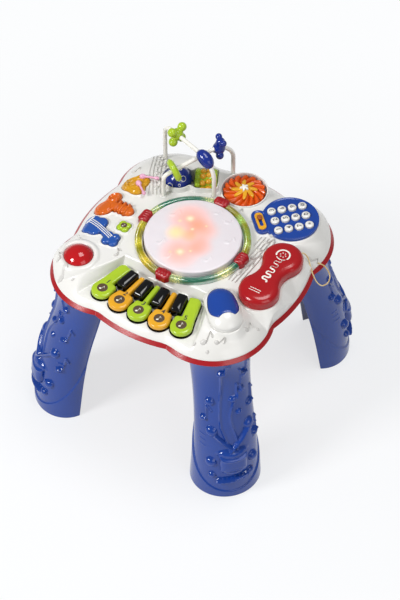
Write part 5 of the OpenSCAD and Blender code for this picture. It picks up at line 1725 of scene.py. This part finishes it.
# %% Disc bead
DISC_SIDES, DISC_START, TREAD_R, RIPPLES = 80, 6, 19.4, 20
tilt = np.array((math.cos(SLOPE), 0, math.sin(SLOPE)))
rise = np.array((-math.sin(SLOPE), 0, math.cos(SLOPE)))
disc_profile = [(0.0, BORE_R), (0.0, 15.0), (0.4, 17.2)]
disc_profile += [(0.4 + 2.1 * t, 17.2 + 1.6 * math.sin(math.pi / 2 * t)) for t in (0.4, 0.8)]
disc_profile += [(2.6, TREAD_R)] + [(5.5 - 2.9 * math.cos(math.pi * t), TREAD_R + 1.5 * math.sin(math.pi * t))
                                    for t in np.linspace(0, 1, 9)]
disc_profile += [(8.4, TREAD_R), (8.9, 18.8), (10.6, 17.2), (11.0, 15.0), (11.0, BORE_R), (0.0, BORE_R)]
points = []
for s, r in disc_profile:
    for j in range(DISC_SIDES):
        a = 2 * math.pi * j / DISC_SIDES
        ripple = r - (0.35 * (0.5 - 0.5 * math.cos(RIPPLES * a)) if r > 19 else 0)
        across = math.cos(a) * rise + math.sin(a) * np.array((0, 1, 0))
        points.append(np.array((start_x, 0, start_z)) + (DISC_START + s) * tilt + ripple * across)
faces = tube_faces(len(disc_profile), DISC_SIDES)
piece("bead_disc_skin", lower(points), faces, LIME_ABS, "disc_bead", ["bead_disc"], slot="lime_abs")

# %% Bean bead
BEAN_MID = 114
BEAN_BALLS = ((-17, 7.6), (-12, 10.0), (-7, 11.2), (-2, 11.5), (3, 11.5), (8, 11.2), (13, 10.0), (18, 7.6))


def on_upper_bend(degrees):
    a, r = math.radians(degrees), UPPER_NEAR_R
    return (r + r * math.cos(a), 0, UPPER_TOP - r + r * math.sin(a))


bean_balls = [(upper(on_upper_bend(BEAN_MID + a))[0], r) for a, r in BEAN_BALLS]
bean_bore = upper([on_upper_bend(a) for a in np.linspace(76, 152, 30)])
melted("bead_bean_skin", bean_balls, bean_bore, DEEP_BLUE, "bean_bead", "bead_bean", "blue_abs")

# %% Lobed bead
LOBES_TIP = math.radians(12)
LOBES = ((0, 0, 10.9), (0, 8, 8.6), (0, 13, 8.0), (9, 17, 6.0), (-9, 17, 6.0), (8, -10, 7.0), (-8, -10, 7.0))


def lobe_at(y, z):
    """A point of the lobed bead: its own frame is tipped about the arc's centre."""
    away = z + LOWER_FAR_R
    return lower((arc_x + away * math.sin(LOBES_TIP), y, arc_z + away * math.cos(LOBES_TIP)))[0]


lobe_balls = [(lobe_at(y, z), r) for y, z, r in LOBES]
lobe_bore = lower([(arc_x + LOWER_FAR_R * math.cos(a), 0, arc_z + LOWER_FAR_R * math.sin(a))
                   for a in map(math.radians, np.linspace(118, 34, 30))])
melted("bead_lobes_skin", lobe_balls, lobe_bore, DEEP_BLUE, "lobed_bead", "bead_lobes", "blue_abs")

# %% Clover bead
clover_x = round(upper_len - UPPER_FAR_R) - 14
CLOVER = ((0, 0, 11), (11, 11, 8), (-11, 11, 8), (9, -12, 8), (-9, -12, 8))
clover_balls = [(upper((clover_x, y, UPPER_TOP + z))[0], r) for y, z, r in CLOVER]
clover_bore = upper([(clover_x + x, 0, UPPER_TOP) for x in (-22, -8, 8, 22)])
melted("bead_clover_skin", clover_balls, clover_bore, LIME_ABS, "clover_bead", "bead_clover", "lime_abs")
print("beads:", len(BEAN_BALLS) + len(LOBES) + len(CLOVER), "balls melted together")

# %% [markdown]
# ## The rest of the real pieces
# The red base, the battery door and what stands inside keep their real shapes and get real finishes:
# painted fibreglass for the boards, brushed steel for the screws, printed sleeves for the cells.

# %% Finishes of kept pieces


def brushed_steel():
    """Zinc-plated screw steel, turned, so its scratches run fine and close."""
    material, tree = started("plated_steel")
    place = add(tree, "ShaderNodeTexCoord").outputs["Object"]
    scratches = add(tree, "ShaderNodeTexNoise", {"Scale": 1 / (0.4 * MM), "Detail": 4}, {"Vector": place})
    gloss = add(tree, "ShaderNodeMapRange", {3: 0.22, 4: 0.4}, {0: scratches.outputs["Fac"]})
    finish = add(tree, "ShaderNodeBsdfPrincipled", {"Metallic": 1.0, "Base Color": linear("#B9BCC0")},
                 {"Roughness": gloss.outputs[0]})
    add(tree, "ShaderNodeOutputMaterial", links={"Surface": finish.outputs[0]})
    return material


KEPT = {
    "base_shell": RED_ABS, "battery_door": RED_ABS, "case_screws": brushed_steel(),
    "circuit_boards": moulded("board_fr4_green", "#1F6B45", "#185A39", 0.35, 0.6, 0.05, 6),
    "switches": moulded("switch_nylon", "#33363B", "#2A2C31", 0.4, bevel_mm=0.3),
    "batteries": moulded("cell_sleeve", "#C9A24A", "#B88F38", 0.3, cloud_mm=14),
    "speaker": moulded("speaker_paper", "#2B2B2E", "#212124", 0.7, 0.5, 0.08),
}
for name, material in KEPT.items():
    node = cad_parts.get(name)
    if node:
        node.data.materials.clear()
        node.data.materials.append(material)
        for face in node.data.polygons:
            face.material_index = 0

# %% [markdown]
# ## Floor and light
# The table stands on a pale floor that fills the view. To keep the floor near white without washing out
# the shadows, the rays that leave the camera, or reach it through gloss or clear plastic, see even light
# in its place for a share of the floor's colour. That share is 0.7 under the table and grows to 1 about a
# metre away from its middle. The light that bounces sees plain paper. A large soft lamp stands to the
# front left, a weaker one to the right, and a broad one above.

# %% Stage
FLOOR_SIZE = 120.0
NEAR_M, FAR_M, NEAR_SHARE = 0.25, 0.95, 0.7
floor_mesh = bpy.data.meshes.new("floor")
half = FLOOR_SIZE / 2
floor_corners = [(-half, -half, 0), (half, -half, 0), (half, half, 0), (-half, half, 0)]
floor_mesh.from_pydata(floor_corners, [], [[0, 1, 2, 3]])
floor = bpy.data.objects.new("floor", floor_mesh)
bpy.context.scene.collection.objects.link(floor)
backdrop, tree = started("studio_floor")
paper = add(tree, "ShaderNodeBsdfPrincipled", {"Base Color": linear("#F4F5F7"), "Roughness": 0.6})
glow = add(tree, "ShaderNodeEmission", {"Color": linear("#FCFDFE"), "Strength": 1.0})
path = add(tree, "ShaderNodeLightPath")
seen = add(tree, "ShaderNodeMath", {"operation": "ADD", "use_clamp": True},
           {0: path.outputs["Is Camera Ray"], 1: path.outputs["Is Glossy Ray"]})
seen = add(tree, "ShaderNodeMath", {"operation": "ADD", "use_clamp": True},
           {0: seen.outputs[0], 1: path.outputs["Is Transmission Ray"]})
place = add(tree, "ShaderNodeTexCoord").outputs["Object"]
far = add(tree, "ShaderNodeVectorMath", {"operation": "LENGTH"}, {0: place})
rising = add(tree, "ShaderNodeMapRange",
             {"interpolation_type": "SMOOTHSTEP", 1: NEAR_M, 2: FAR_M, 3: NEAR_SHARE, 4: 1.0},
             {0: far.outputs["Value"]})
share = add(tree, "ShaderNodeMath", {"operation": "MULTIPLY"}, {0: seen.outputs[0], 1: rising.outputs[0]})
mixed = add(tree, "ShaderNodeMixShader", links={0: share.outputs[0], 1: paper.outputs[0], 2: glow.outputs[0]})
add(tree, "ShaderNodeOutputMaterial", links={"Surface": mixed.outputs[0]})
floor_mesh.materials.append(backdrop)


def lamp(name, at, aim, size, power):
    data = bpy.data.lights.new(name, "AREA")
    data.shape, data.size, data.energy = "SQUARE", size, power
    made = bpy.data.objects.new(name, data)
    bpy.context.scene.collection.objects.link(made)
    made.location = at
    made.rotation_euler = (Vector(aim) - Vector(at)).to_track_quat("-Z", "Y").to_euler()


# %% Lamps and world
SKY_LEVEL = 0.27
lamp("key", (-1.1, -1.9, 2.1), (0, 0, 0.25), 0.8, 55)
lamp("fill", (2.3, -1.0, 1.8), (0, 0, 0.3), 1.6, 16)
lamp("top", (0.3, 0.5, 2.9), (0, 0, 0.3), 1.2, 30)
world = bpy.data.worlds.new("studio")
world.use_nodes = True
sky = world.node_tree.nodes["Background"]
sky.inputs[0].default_value = linear("#F3F5F8")
sky.inputs[1].default_value = SKY_LEVEL
bpy.context.scene.world = world
bpy.context.scene.view_settings.view_transform = "Standard"
